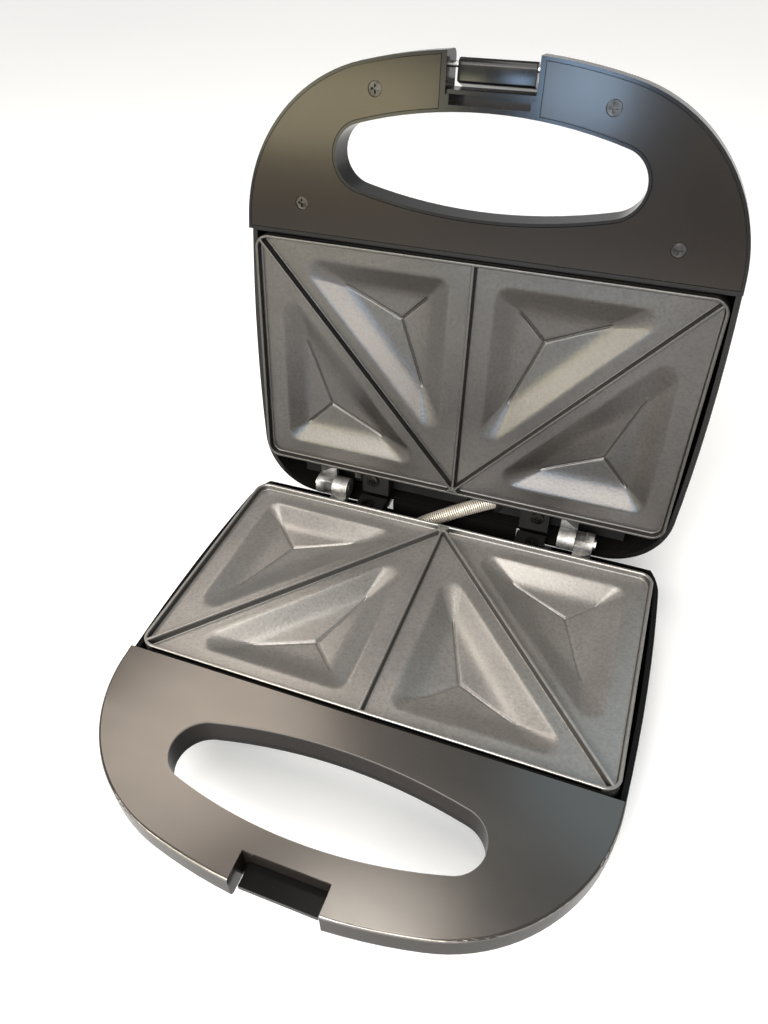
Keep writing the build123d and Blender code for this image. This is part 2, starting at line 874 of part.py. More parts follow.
def plate_posts(seat):
    """Hollow posts inside a shell that carry the reflector and the plate."""
    with BuildSketch(seat.offset(-reflector_under)) as posts:
        with Locations(*boss_places()):
            Circle(post_radius)
    extrude(posts.sketch, amount=-(inside_floor + skin / 2 - reflector_under))
    with BuildSketch(seat.offset(-reflector_under)) as holes:
        with Locations(*boss_places()):
            Circle(screw_hole_radius + screw_slip)
    well_depth = housing_bottom - reflector_under + overrun
    extrude(holes.sketch, amount=-well_depth, mode=Mode.SUBTRACT)
    with BuildSketch(seat.offset(-reflector_under - post_cap)) as wells:
        with Locations(*boss_places()):
            Circle(post_well_radius)
    extrude(wells.sketch, amount=-(well_depth - post_cap), mode=Mode.SUBTRACT)


def shell_body(seat):
    """Tub of a half with its cavity, the plate's posts and their screw wells."""
    loft(body_sections(seat, housing_rim, housing_bottom, bottom_rounding, 0.0, 0.0), ruled=True)
    loft(
        body_sections(seat, 0, inside_floor, bottom_rounding - wall, wall, front_wall),
        ruled=True,
        mode=Mode.SUBTRACT,
    )
    plate_posts(seat)


def handle_hollow(seat, edge, depth_from, depth_to, block_half_width, block_back):
    """Space inside a handle, round the finger hole, the screw posts and the middle block."""
    with BuildSketch(seat.offset(-depth_from)) as space:
        handle_outline(edge, handle_start + edge)
        oval_outline(oval_lip, Mode.SUBTRACT)
        strip(block_half_width, block_back, 2 * front_reach, Mode.SUBTRACT)
        with Locations(*handle_screw_places()):
            Circle(handle_post_radius, mode=Mode.SUBTRACT)
    extrude(space.sketch, amount=-(depth_to - depth_from), mode=Mode.SUBTRACT)


def finger_hole(seat, depth):
    """Finger hole right through a handle."""
    with BuildSketch(seat.offset(overrun)) as hole:
        oval_outline()
    extrude(hole.sketch, amount=-(depth + 2 * overrun), mode=Mode.SUBTRACT)


def screw_holes(seat, depth_from, depth_to, radius):
    """Round holes at the four screw places of a handle."""
    with BuildSketch(seat.offset(-depth_from)) as holes:
        with Locations(*handle_screw_places()):
            Circle(radius)
    extrude(holes.sketch, amount=-(depth_to - depth_from), mode=Mode.SUBTRACT)


def handle_screws(seat, head_from, head_to, tip):
    """Four cross-head screws of a handle, from the outer face of the head to the tip."""
    sense = 1 if head_to > head_from else -1
    with BuildPart() as screws:
        with BuildSketch(seat.offset(-head_from)):
            with Locations(*handle_screw_places()):
                Circle(handle_head_radius)
        extrude(amount=-(head_to - head_from))
        with BuildSketch(seat.offset(-head_to)):
            with Locations(*handle_screw_places()):
                Circle(handle_screw_radius)
        extrude(amount=-(tip - head_to))
        with BuildSketch(seat.offset(-head_from)):
            with Locations(*handle_screw_places()):
                Rectangle(screw_head_radius, cross_width)
                Rectangle(cross_width, screw_head_radius)
        extrude(amount=-sense * cross_depth, mode=Mode.SUBTRACT)
    return screws


# Lower shell: tub, handle tray, latch ledge, vents and the holes of feet and gland
gland_wall = rear_reach + gland_pad_reach
tray_head_seat = handle_bottom - handle_head_height - handle_sink
with BuildPart() as bottom_housing:
    handle_block(bottom_housing, base_seat, deck_seam_height, handle_bottom, tray_rounding)
    shell_body(base_seat)
    finger_hole(base_seat, handle_bottom)
    shank_room = handle_screw_radius + screw_slip
    screw_holes(base_seat, deck_seam_height - overrun, handle_bottom + overrun, shank_room)
    screw_holes(base_seat, tray_head_seat, handle_bottom + overrun, handle_head_radius + screw_slip)
    with BuildSketch(base_seat.offset(-deck_seam_height + overrun)):
        strip(notch_half_width, ledge_root, 2 * front_reach)
    extrude(amount=-(handle_bottom - deck_seam_height + 2 * overrun), mode=Mode.SUBTRACT)
    with BuildSketch(side_view(base_seat, -ledge_half_width)):
        with BuildLine():
            Polyline(
                (-ledge_front, -ledge_top),
                (-notch_back - handle_sink, -ledge_top),
                (-notch_back - handle_sink, -handle_bottom),
                (-ledge_root, -handle_bottom),
                (-ledge_root, -ledge_top - ledge_thickness),
                (-ledge_front, -ledge_top - ledge_thickness),
                close=True,
            )
        make_face()
    extrude(amount=2 * ledge_half_width)
    # The rear is cut down on a slope, so that the open lid has room, but for a screen in the middle
    screen_half_width = recess_half_width - screen_room
    with BuildSketch(side_view(base_seat, -side_half_width)) as slope:
        with BuildLine():
            Polyline(
                (-rear_slope_start, 0),
                (-rear_slope_start, -housing_rim),
                (rear_reach, -rear_slope_end),
                (2 * rear_reach, -rear_slope_end),
                (2 * rear_reach, 0),
                close=True,
            )
        make_face()
    side_run = side_half_width - screen_half_width
    extrude(amount=side_run, mode=Mode.SUBTRACT)
    far_side = (side_half_width + screen_half_width) * base_seat.x_dir
    extrude(slope.sketch.moved(Location(far_side)), amount=side_run, mode=Mode.SUBTRACT)
    with BuildSketch(base_seat):
        strip(screen_half_width, -screen_front, -2 * rear_reach)
    extrude(amount=-screen_top, mode=Mode.SUBTRACT)
    # Gland hole in a flat pad of the rear wall
    gland_axis = Plane(
        origin=base_seat.from_local_coords((gland_x, gland_wall, -gland_height)),
        x_dir=base_seat.x_dir,
        z_dir=-base_seat.y_dir,
    )
    with BuildSketch(gland_axis):
        Circle(gland_pad_radius)
    extrude(amount=gland_pad_length)
    with BuildSketch(gland_axis.offset(-overrun)):
        Circle(gland_body_radius)
    extrude(amount=gland_pad_length + 2 * overrun, mode=Mode.SUBTRACT)
    with BuildSketch(base_seat.offset(-housing_bottom - overrun)):
        with Locations(*foot_places()):
            Circle(foot_stem_radius)
        with Locations((0, -plate_mid)):
            with GridLocations(vent_spacing, vent_pitch, 2, vent_rows):
                SlotOverall(vent_length, vent_width)
    extrude(amount=wall + 2 * overrun, mode=Mode.SUBTRACT)

# Cap of the lower handle with the latch notch
with BuildPart() as base_handle_deck:
    handle_block(base_handle_deck, base_seat, deck_seam_height, deck_height, deck_rounding)
    deck_under = deck_height + deck_thickness
    handle_hollow(
        base_seat, wall, deck_under, deck_seam_height + overrun, notch_half_width + wall, notch_back - wall
    )
    finger_hole(base_seat, deck_seam_height)
    with BuildSketch(base_seat):
        strip(notch_half_width, notch_back, 2 * front_reach)
    extrude(amount=-handle_bottom, mode=Mode.SUBTRACT)
    screw_holes(
        base_seat, deck_seam_height - handle_thread_depth, deck_seam_height + overrun, handle_screw_hole
    )
deck_screw_tip = deck_seam_height - handle_thread_depth + handle_sink
deck_screws = handle_screws(base_seat, handle_bottom - handle_sink, tray_head_seat, deck_screw_tip)

# Upper shell with its handle half, latch slot, lens holes and lamp posts
slot_frame = slot_half_width + slot_wall
insert_seat = deck_height + insert_thickness
with BuildPart() as lid_cover:
    handle_block(lid_cover, lid_seat, deck_height, handle_bottom, handle_rounding)
    shell_body(lid_seat)
    with BuildSketch(lid_seat.offset(-deck_height + overrun)):
        handle_outline(insert_rim, handle_start + insert_setback)
        oval_outline(oval_lip, Mode.SUBTRACT)
        strip(slot_frame, oval_front, 2 * front_reach, Mode.SUBTRACT)
    extrude(amount=-(insert_thickness + overrun), mode=Mode.SUBTRACT)
    handle_hollow(
        lid_seat, insert_rim + insert_ledge, insert_seat, handle_bottom - skin, slot_frame, oval_front
    )
    finger_hole(lid_seat, handle_bottom)
    with BuildSketch(lid_seat):
        strip(slot_half_width, slot_back, 2 * front_reach)
    extrude(amount=-(handle_bottom + overrun), mode=Mode.SUBTRACT)
    rib_back = slot_back - rib_thickness
    with BuildSketch(lid_seat):
        strip(slot_half_width, rib_back, slot_back)
    extrude(amount=-(deck_height + rib_sink), mode=Mode.SUBTRACT)
    with BuildSketch(lid_seat):
        strip(slot_pocket_half_width, rib_back - slot_pocket_gap, rib_back)
    extrude(amount=-slot_pocket_floor, mode=Mode.SUBTRACT)
    with BuildSketch(side_view(lid_seat, -slot_frame + handle_sink)):
        with Locations((-latch_pin_y, -latch_pin_z)):
            Circle(latch_pin_radius + latch_pin_slip)
    extrude(amount=2 * slot_frame - 2 * handle_sink, mode=Mode.SUBTRACT)
    screw_holes(lid_seat, insert_seat, insert_seat + handle_thread_depth, handle_screw_hole)
    # Notch of the rear wall, through which the sleeve reaches the lower half
    with BuildSketch(lid_seat):
        strip(recess_half_width, 0, -2 * rear_reach)
    extrude(amount=-recess_floor, mode=Mode.SUBTRACT)
    with BuildSketch(lid_seat.offset(-housing_bottom - overrun)):
        with Locations((-lamp_x, -lamp_y), (lamp_x, -lamp_y)):
            Circle(lens_radius + lens_slip)
    extrude(amount=wall + 2 * overrun, mode=Mode.SUBTRACT)
    holder_under = inside_floor - lens_flange - lamp_gap - lamp_reach_above_holder
    with BuildSketch(lid_seat.offset(-inside_floor - overrun)):
        with Locations((-holder_post_x, -lamp_y), (holder_post_x, -lamp_y)):
            Circle(holder_post_radius)
    extrude(amount=inside_floor + overrun - holder_under)

# Plate let into the mating side of the upper handle
with BuildPart() as lid_handle_plate:
    with BuildSketch(lid_seat.offset(-deck_height)):
        handle_outline(insert_rim + insert_gap, handle_start + insert_setback + insert_gap)
        oval_outline(oval_lip + insert_gap, Mode.SUBTRACT)
        strip(slot_frame + insert_gap, oval_front - 2 * oval_lip, 2 * front_reach, Mode.SUBTRACT)
    extrude(amount=-insert_thickness)
    screw_holes(lid_seat, 0, insert_seat + overrun, handle_screw_radius + screw_slip)
    insert_head_seat = deck_height + handle_sink + handle_head_height
    screw_holes(lid_seat, 0, insert_head_seat, handle_head_radius + screw_slip)
insert_screw_tip = insert_seat + handle_thread_depth - handle_sink
lid_handle_screws = handle_screws(lid_seat, deck_height + handle_sink, insert_head_seat, insert_screw_tip)

# The two halves share their plates, elements, reflectors, screws and rear blocks
lower_cooking_plate = cooking_plate(base_seat)
upper_cooking_plate = cooking_plate(lid_seat)
lower_heating_element = heating_element(base_seat)
upper_heating_element = heating_element(lid_seat)
lower_reflector = reflector(base_seat)
upper_reflector = reflector(lid_seat)
lower_plate_screws = plate_screws(base_seat)
upper_plate_screws = plate_screws(lid_seat)
base_rear_bridge = rear_bridge(base_seat, leave_way)
lid_rear_bridge = rear_bridge(lid_seat, -arrive_way)
base_bridge_screws = bridge_screws(base_seat)
lid_bridge_screws = bridge_screws(lid_seat)

# Hinge pins, headed outside the knuckles
with BuildPart() as hinge_pins:
    for side in (-1, 1):
        end = Plane(
            origin=base_seat.from_local_coords((side * (disc_end + hinge_end_gap), 0, 0)),
            z_dir=base_seat.x_dir * side,
        )
        with BuildSketch(end):
            Circle(pin_head_radius)
        extrude(amount=pin_head_length)
        with BuildSketch(end):
            Circle(pin_radius)
        extrude(amount=-(disc_end + 2 * hinge_end_gap - knuckle_inner))

# Rubber feet: a tapered pad with a stem that grips in the shell's floor
with BuildPart() as rubber_feet:
    foot_height = hinge_height - housing_bottom
    foot_slope = math.degrees(math.atan2(foot_taper, foot_height))
    with BuildSketch(base_seat.offset(-hinge_height)):
        with Locations(*foot_places()):
            Circle(foot_radius - foot_taper)
    extrude(amount=foot_height, taper=-foot_slope)
    with BuildSketch(base_seat.offset(-housing_bottom)):
        with Locations(*foot_places()):
            Circle(foot_stem_radius - foot_stem_hole_slip)
    extrude(amount=wall + foot_barb)
    with BuildSketch(base_seat.offset(-inside_floor)):
        with Locations(*foot_places()):
            Circle(foot_stem_radius + foot_barb)
    extrude(amount=foot_barb)

# Gland of the mains lead: a bush with a flange on each side of the rear wall's pad
with BuildPart() as cord_bush:
    with BuildSketch(gland_axis.offset(-gland_flange)):
        Circle(gland_flange_radius)
    extrude(amount=gland_flange)
    with BuildSketch(gland_axis):
        Circle(gland_body_radius - gland_slip)
    extrude(amount=gland_pad_length)
    with BuildSketch(gland_axis.offset(gland_pad_length)):
        Circle(gland_body_radius + gland_barb)
    extrude(amount=gland_flange)
    with BuildSketch(gland_axis.offset(-gland_flange)):
        Circle(gland_bore)
    extrude(amount=gland_pad_length + 2 * gland_flange, mode=Mode.SUBTRACT)

# Terminal block on the shell's floor, with three lead slots and their screws' wells
with BuildPart() as terminal_block:
    with BuildSketch(base_seat.offset(-inside_floor)):
        with Locations((block_x, -block_y)):
            Rectangle(block_length, block_width)
    extrude(amount=block_height)
    with BuildSketch(base_seat.offset(-inside_floor + block_height)):
        with Locations((block_x, -block_y)):
            with GridLocations(block_slot_pitch, 0, 3, 1):
                Circle(block_screw_radius)
    extrude(amount=-block_height / 2, mode=Mode.SUBTRACT)

# Thermal fuse across the back of the lower plate
sensor_y = -(hinge_setback + sensor_back)
plate_under = field + plate_web
with BuildPart() as thermal_fuse:
    with BuildSketch(side_view(base_seat, -fuse_length / 2)):
        with Locations((sensor_y, -plate_under - fuse_radius)):
            Circle(fuse_radius)
    extrude(amount=fuse_length)
    with BuildSketch(side_view(base_seat, -fuse_length / 2 - fuse_lead_length)):
        with Locations((sensor_y, -plate_under - fuse_radius)):
            Circle(fuse_lead_radius)
    extrude(amount=fuse_length + 2 * fuse_lead_length)

# Thermostat clamped under the upper plate by a strap
with BuildPart() as thermostat:
    with BuildSketch(lid_seat.offset(-plate_under)):
        with Locations((0, sensor_y)):
            Circle(thermostat_radius)
    extrude(amount=-thermostat_height)
    with BuildSketch(lid_seat.offset(-plate_under - thermostat_height)):
        with Locations((0, sensor_y)):
            Circle(thermostat_neck_radius)
    extrude(amount=-thermostat_neck_height)
    with BuildSketch(lid_seat.offset(-plate_under - thermostat_height - thermostat_neck_height)):
        with Locations((0, sensor_y)):
            with GridLocations(tab_spacing, 0, 2, 1):
                Rectangle(tab_thickness, tab_width)
    extrude(amount=-tab_length)
strap_top = plate_under + thermostat_height
with BuildPart() as thermostat_bracket:
    with BuildSketch(lid_seat.offset(-plate_under)):
        with Locations((0, sensor_y)):
            Rectangle(2 * bracket_half_length, bracket_width)
            Rectangle(2 * (bracket_half_length - bracket_sheet), bracket_width, mode=Mode.SUBTRACT)
    extrude(amount=-thermostat_height)
    with BuildSketch(lid_seat.offset(-strap_top)):
        with Locations((0, sensor_y)):
            Rectangle(2 * bracket_half_length, bracket_width)
            Circle(thermostat_neck_radius + thermostat_radius - bracket_width / 2)
            Circle(thermostat_neck_radius + screw_slip, mode=Mode.SUBTRACT)
    extrude(amount=-bracket_sheet)

# Neon lamps in their holder, each behind a lens in the cover
lamp_places = [(-lamp_x, -lamp_y), (lamp_x, -lamp_y)]
lamp_tip = inside_floor - lens_flange - lamp_gap
with BuildPart() as neon_lamps:
    with BuildSketch(lid_seat.offset(-lamp_tip)):
        with Locations(*lamp_places):
            Circle(lamp_radius)
    extrude(amount=lamp_length)
    fillet(neon_lamps.faces().sort_by(Axis(lid_seat.origin, lid_seat.z_dir))[:2].edges(), lamp_radius / 2)
with BuildPart() as lamp_holder:
    with BuildSketch(lid_seat.offset(-holder_under)):
        with Locations((0, -lamp_y)):
            SlotOverall(holder_length, holder_width)
        with Locations(*lamp_places):
            Circle(lamp_radius + lens_slip, mode=Mode.SUBTRACT)
    extrude(amount=holder_thickness)
with BuildPart() as indicator_lenses:
    with BuildSketch(lid_seat.offset(-inside_floor)):
        with Locations(*lamp_places):
            Circle(lens_flange_radius)
    extrude(amount=lens_flange)
    with BuildSketch(lid_seat.offset(-inside_floor)):
        with Locations(*lamp_places):
            Circle(lens_radius)
    extrude(amount=-(wall + lens_proud))

# Latch: a barrel on the pin and an arm whose hook reaches under the lower handle's ledge.
# It is stored swung back over the lid, latch_turn away from its closed place.
arm_turn = math.radians(-90 - latch_turn + 360 - open_angle)
arm_way = Vector(0, math.cos(arm_turn), math.sin(arm_turn))
latch_origin = Vector(*lid_seat.from_local_coords((0, -latch_pin_y, -latch_pin_z)))
latch_plane = Plane(origin=latch_origin - Vector(latch_half_width, 0, 0), x_dir=arm_way, z_dir=(1, 0, 0))
arm_low = -(latch_arm_offset + latch_arm_thickness)
with BuildPart() as latch:
    with BuildSketch(latch_plane):
        Circle(latch_barrel_radius)
        with BuildLine():
            Polyline(
                (-latch_barrel_radius, 0),
                (-latch_barrel_radius, arm_low),
                (latch_arm_length, arm_low),
                (latch_arm_length, latch_hook_reach - latch_arm_offset),
                (latch_arm_length - latch_hook_thickness, latch_hook_reach - latch_arm_offset),
                (latch_arm_length - latch_hook_thickness, -latch_arm_offset),
                (latch_barrel_radius, -latch_arm_offset),
                (latch_barrel_radius, 0),
                close=True,
            )
        make_face()
        Circle(latch_pin_radius + latch_pin_slip, mode=Mode.SUBTRACT)
    extrude(amount=2 * latch_half_width)
with BuildPart() as latch_pin:
    pin_reach = slot_frame - 2 * handle_sink
    with BuildSketch(side_view(lid_seat, -pin_reach)):
        with Locations((-latch_pin_y, -latch_pin_z)):
            Circle(latch_pin_radius)
    extrude(amount=2 * pin_reach)


def sleeve_frame(distance):
    """Point, way and normal of the sleeve's middle line at a distance from its start."""
    bend_length = 2 * conduit_bend * bend_half_angle
    if distance < straight_end:
        return conduit_low + leave_way * (distance - straight_end), 0.0
    if distance > straight_end + bend_length:
        return conduit_high + arrive_way * (distance - straight_end - bend_length), 1.0
    share = (distance - straight_end) / bend_length
    turn = bend_half_angle * (1 - 2 * share)
    centre = (conduit_low + conduit_high) * 0.5
    centre = centre - bow_way * (conduit_bend * math.cos(bend_half_angle))
    way = bow_way * math.cos(turn) - chord_way * math.sin(turn)
    return centre + way * conduit_bend, share


def sleeve_point(turns):
    """Point of the wire's middle line after a number of turns."""
    distance = wire_radius + turns * sleeve_pitch
    middle, share = sleeve_frame(distance)
    turn = bend_half_angle * (1 - 2 * share)
    normal = bow_way * math.cos(turn) - chord_way * math.sin(turn)
    across = chord_way.cross(bow_way)
    angle = 2 * math.pi * turns
    wound = conduit_radius - wire_radius
    return middle + normal * (wound * math.cos(angle)) + across * (wound * math.sin(angle))


# Sleeve of the lid's leads: one wire wound close, swept along arcs of half a turn
sleeve_length = 2 * straight_end + 2 * conduit_bend * bend_half_angle - 2 * wire_radius
half_turns = round(2 * sleeve_length / wire_pitch)
sleeve_pitch = 2 * sleeve_length / half_turns


def wire_way(turns):
    """Direction of the wire, from two points a small part of a turn apart."""
    step_share = 0.0001
    return (sleeve_point(turns + step_share) - sleeve_point(turns - step_share)).normalized()


def joint_point(start, start_way, end, end_way):
    """Point where two arcs meet that leave one point and reach the other along set ways."""
    span = end - start
    ways = start_way + end_way
    square = 2 * (1 - start_way.dot(end_way))
    along = span.dot(ways)
    reach = (math.sqrt(along**2 + square * span.dot(span)) - along) / square
    return (start + start_way * reach + end - end_way * reach) * 0.5


wire_ends = [half / 2 for half in range(half_turns + 1)]
wire_points = [sleeve_point(turns) for turns in wire_ends]
wire_ways = [wire_way(turns) for turns in wire_ends]
with BuildLine() as wire_course:
    for k in range(half_turns):
        middle = joint_point(wire_points[k], wire_ways[k], wire_points[k + 1], wire_ways[k + 1])
        first = TangentArc(wire_points[k], middle, tangent=wire_ways[k])
        TangentArc(middle, wire_points[k + 1], tangent=first % 1)
wire_start = Plane(origin=wire_points[0], z_dir=wire_ways[0])
with BuildPart() as spring_conduit:
    with BuildSketch(wire_start):
        RegularPolygon(wire_radius, wire_sides)
    sweep(path=wire_course.wire())

# Least gap between neighbouring turns, measured on points of the wire
samples = 24
sampled = [sleeve_point(k / samples) for k in range(half_turns * samples // 2 + 1)]
turn_gaps = []
for k in range(len(sampled) - samples - samples // 2):
    near = sampled[k + samples // 2 : k + samples + samples // 2]
    turn_gaps.append(min((other - sampled[k]).length for other in near) - 2 * wire_radius)
print("sleeve:", half_turns / 2, "turns, least gap", round(min(turn_gaps), 3), "mm")

pieces = {
    "bottom_housing": bottom_housing,
    "base_handle_deck": base_handle_deck,
    "deck_screws": deck_screws,
    "lower_cooking_plate": lower_cooking_plate,
    "lower_heating_element": lower_heating_element,
    "lower_reflector": lower_reflector,
    "lower_plate_screws": lower_plate_screws,
    "thermal_fuse": thermal_fuse,
    "terminal_block": terminal_block,
    "cord_bush": cord_bush,
    "rubber_feet": rubber_feet,
    "base_rear_bridge": base_rear_bridge,
    "base_bridge_screws": base_bridge_screws,
    "hinge_pins": hinge_pins,
    "spring_conduit": spring_conduit,
    "lid_cover": lid_cover,
    "lid_handle_plate": lid_handle_plate,
    "lid_handle_screws": lid_handle_screws,
    "upper_cooking_plate": upper_cooking_plate,
    "upper_heating_element": upper_heating_element,
    "upper_reflector": upper_reflector,
    "upper_plate_screws": upper_plate_screws,
    "thermostat": thermostat,
    "thermostat_bracket": thermostat_bracket,
    "neon_lamps": neon_lamps,
    "lamp_holder": lamp_holder,
    "indicator_lenses": indicator_lenses,
    "lid_rear_bridge": lid_rear_bridge,
    "lid_bridge_screws": lid_bridge_screws,
    "latch_pin": latch_pin,
    "latch": latch,
}
for label, piece in pieces.items():
    piece.part.label = label
    export_step(piece.part, f"parts/{label}.step")
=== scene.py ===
import math
import bmesh
import bpy
import numpy as np
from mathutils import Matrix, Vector


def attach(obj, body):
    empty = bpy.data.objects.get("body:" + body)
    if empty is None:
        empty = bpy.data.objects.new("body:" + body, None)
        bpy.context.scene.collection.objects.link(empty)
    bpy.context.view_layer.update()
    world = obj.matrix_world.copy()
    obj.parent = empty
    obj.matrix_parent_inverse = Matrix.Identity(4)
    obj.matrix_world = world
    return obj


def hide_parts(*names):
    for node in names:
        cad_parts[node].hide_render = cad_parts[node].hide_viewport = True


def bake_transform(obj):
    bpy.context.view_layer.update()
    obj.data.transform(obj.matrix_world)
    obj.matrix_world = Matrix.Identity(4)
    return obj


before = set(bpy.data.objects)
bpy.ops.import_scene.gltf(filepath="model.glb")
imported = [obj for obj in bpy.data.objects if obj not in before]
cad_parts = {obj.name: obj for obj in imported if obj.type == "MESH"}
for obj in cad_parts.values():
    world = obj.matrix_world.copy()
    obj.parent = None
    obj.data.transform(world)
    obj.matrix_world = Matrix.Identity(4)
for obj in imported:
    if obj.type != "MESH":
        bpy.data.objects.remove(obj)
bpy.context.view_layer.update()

mm = 0.001

# The seats: x along the hinge, y to the rear, z towards the other half, in millimetres
seats = {
    "hinge": (0.0, 77.07, 45.0),
    "openAngle": 97.2,
}


def seatAxes(half):
    # rows are the seat's x, y and z in the row frame; the lid's seat is turned over and opened
    if half == "base":
        return np.eye(3)
    turn = math.radians(seats["openAngle"])
    c, s = math.cos(turn), math.sin(turn)
    return np.array([[-1, 0, 0], [0, c, -s], [0, -s, -c]])


def toRow(points, half):
    # row = (seat x * first axis + seat y * second axis + seat z * third axis + hinge), in metres
    return (np.asarray(points, float) @ seatAxes(half) + seats["hinge"]) * mm


def toSeat(points, half):
    # the way back: each seat value is the share of (row - hinge) along that axis, in millimetres
    return (np.asarray(points, float) / mm - seats["hinge"]) @ seatAxes(half).T


class Wire:
    # one socket of a material's tree; arithmetic on it adds Math nodes
    def __init__(self, tree, socket=None):
        self.tree = tree
        self.socket = socket

    def node(self, kind, settings=None, sockets=None, out=0):
        made = self.tree.nodes.new("ShaderNode" + kind)
        for key, value in (settings or {}).items():
            if key == "stops":
                elements = made.color_ramp.elements
                while len(elements) < len(value):
                    elements.new(0.5)
                for element, (place, shade) in zip(elements, value):
                    element.position = place
                    element.color = (shade, shade, shade, 1) if isinstance(shade, float) else (*shade, 1)
            else:
                setattr(made, key, value)
        for key, value in (sockets or {}).items():
            if isinstance(value, Wire):
                self.tree.links.new(value.socket, made.inputs[key])
            else:
                made.inputs[key].default_value = value
        return Wire(self.tree, made.outputs[out])

    def math(self, operation, first, second=0.0):
        return self.node("Math", {"operation": operation}, {0: first, 1: second})

    def __add__(self, other):
        return self.math("ADD", self, other)

    def __sub__(self, other):
        return self.math("SUBTRACT", self, other)

    def __mul__(self, other):
        return self.math("MULTIPLY", self, other)

    def __rsub__(self, other):
        return self.math("SUBTRACT", other, self)

    __radd__ = __add__
    __rmul__ = __mul__

    def place(self):
        return self.node("TexCoord", out=3)  # object coordinates, in metres

    def stretched(self, scale):
        return self.node("Mapping", {}, {"Vector": self.place(), "Scale": scale})

    def noise(self, size, detail=2.0, rough=0.5, coords=None):
        # noise whose lumps are about size metres across
        sockets = {"Vector": coords or self.place(), "Scale": 0.6 / size, "Detail": detail, "Roughness": rough}
        return self.node("TexNoise", {}, sockets)

    def height(self):
        # the object's z as a value
        return self.node("SeparateXYZ", {}, {0: self.place()}, out=2)

    def clamped(self):
        low = self.math("MINIMUM", self, 1.0)
        return low.math("MAXIMUM", low, 0.0)

    def ramp(self, stops):
        # stops are places from 0 to 1 with a grey value or a colour
        return self.node("ValToRGB", {"stops": stops}, {"Fac": self})

    def blendColours(self, first, second):
        # this value is the share of the second colour
        return self.node("Mix", {"data_type": "RGBA"}, {0: self, 6: first, 7: second}, out=2)

    def bump(self, height, strength=1.0):
        # height is the relief of this value's step from 0 to 1, in metres
        return self.node("Bump", {}, {"Height": self, "Distance": height, "Strength": strength})


def shaded(tone, factor):
    return tuple(min(channel * factor, 1) for channel in tone)


def finish(name, surface):
    # surface takes a wire and gives what each socket of the shader gets
    made = bpy.data.materials.new(name)
    made.use_nodes = True
    tree = made.node_tree
    tree.nodes.clear()
    output = tree.nodes.new("ShaderNodeOutputMaterial")
    shader = tree.nodes.new("ShaderNodeBsdfPrincipled")
    tree.links.new(shader.outputs[0], output.inputs[0])
    for key, value in surface(Wire(tree)).items():
        if isinstance(value, Wire):
            tree.links.new(value.socket, shader.inputs[key])
        else:
            shader.inputs[key].default_value = value
    return made


def castCoating(tone, metallic, fieldHeight=None):
    # grey non-stick coat sprayed on the casting: fine grain, soft clouds and lighter worn specks;
    # above fieldHeight the flanks of the ridges and of the rim get painted shade, a near-black tone
    def surface(w):
        grain = w.noise(0.0009, 3.0, 0.65)
        clouds = w.noise(0.022, 3.0, 0.55)
        specks = w.noise(0.0010, 1.0).ramp([(0.62, 0.0), (0.70, 1.0)])
        shade = clouds.ramp([(0.3, shaded(tone, 0.90)), (0.7, shaded(tone, 1.10))])
        pits = grain.ramp([(0.36, 0.55), (0.56, 0.0)])
        colour = pits.blendColours(shade, (*shaded(tone, 0.72), 1))
        colour = (specks * 0.2).blendColours(colour, (*shaded(tone, 1.35), 1))
        if fieldHeight:
            rise = (w.height() - fieldHeight) * 300  # 1 at a third of a centimetre above the field
            # painted shade: the flanks between the field and the tops are darkened towards black
            flankShade = rise.ramp([(0.01, 0.0), (0.10, 1.0), (0.72, 1.0), (0.93, 0.0)])
            colour = (flankShade * 0.8).blendColours(colour, (*shaded(tone, 0.12), 1))
        return {
            "Base Color": colour,
            "Metallic": metallic,
            "Roughness": 0.22 + grain * 0.12 + clouds * 0.06,
            "Normal": grain.bump(0.00009, 0.8),
        }
    return surface


def bareCast(w):
    # tumbled bare aluminium: bright, with a coarse sparkle
    grain = w.noise(0.0005, 3.0, 0.65)
    patches = w.noise(0.004, 2.0)
    mottle = grain * 0.5 + patches * 0.5
    return {
        "Base Color": mottle.ramp([(0.36, (0.13, 0.127, 0.123)), (0.62, (0.37, 0.362, 0.348))]),
        "Metallic": 0.85,
        "Roughness": 0.36 + grain * 0.22,
        "Normal": grain.bump(0.00016, 0.8),
    }


def metallicPaint(dark, light, rough, metallic, peelHeight, wallTop=None):
    # gunmetal paint under a thin lacquer: tiny flakes, a faint orange peel and wiped smears;
    # below the height of wallTop the walls get painted shade: a near-black colour with less metal and coat
    def surface(w):
        flakes = w.noise(0.00016, 1.0, 0.5)
        peel = w.noise(0.0016, 1.0)
        smears = w.noise(0.03, 3.0, 0.6, w.stretched((1.0, 2.2, 1.0)))
        colour = flakes.ramp([(0.35, dark), (0.68, light)])
        wallShade = None
        if wallTop:
            wallShade = ((wallTop - w.height()) * 1600).clamped()  # the painted shade comes in over 0.6 mm
            # painted shade on the walls: near-black flakes in place of the paint's own colour
            wallShadeColour = flakes.ramp([(0.35, (0.010, 0.0085, 0.0075)), (0.68, (0.016, 0.0135, 0.012))])
            colour = wallShade.blendColours(colour, wallShadeColour)
        return {
            "Base Color": colour,
            "Metallic": (1 - wallShade) * metallic if wallShade else metallic,
            "Roughness": rough + smears * 0.10 + flakes * 0.04,
            "Coat Weight": (1 - wallShade) * 0.35 if wallShade else 0.15,
            "Coat Roughness": 0.12,
            "Specular IOR Level": 0.06,
            "Normal": peel.bump(peelHeight, 0.5),
        }
    return surface


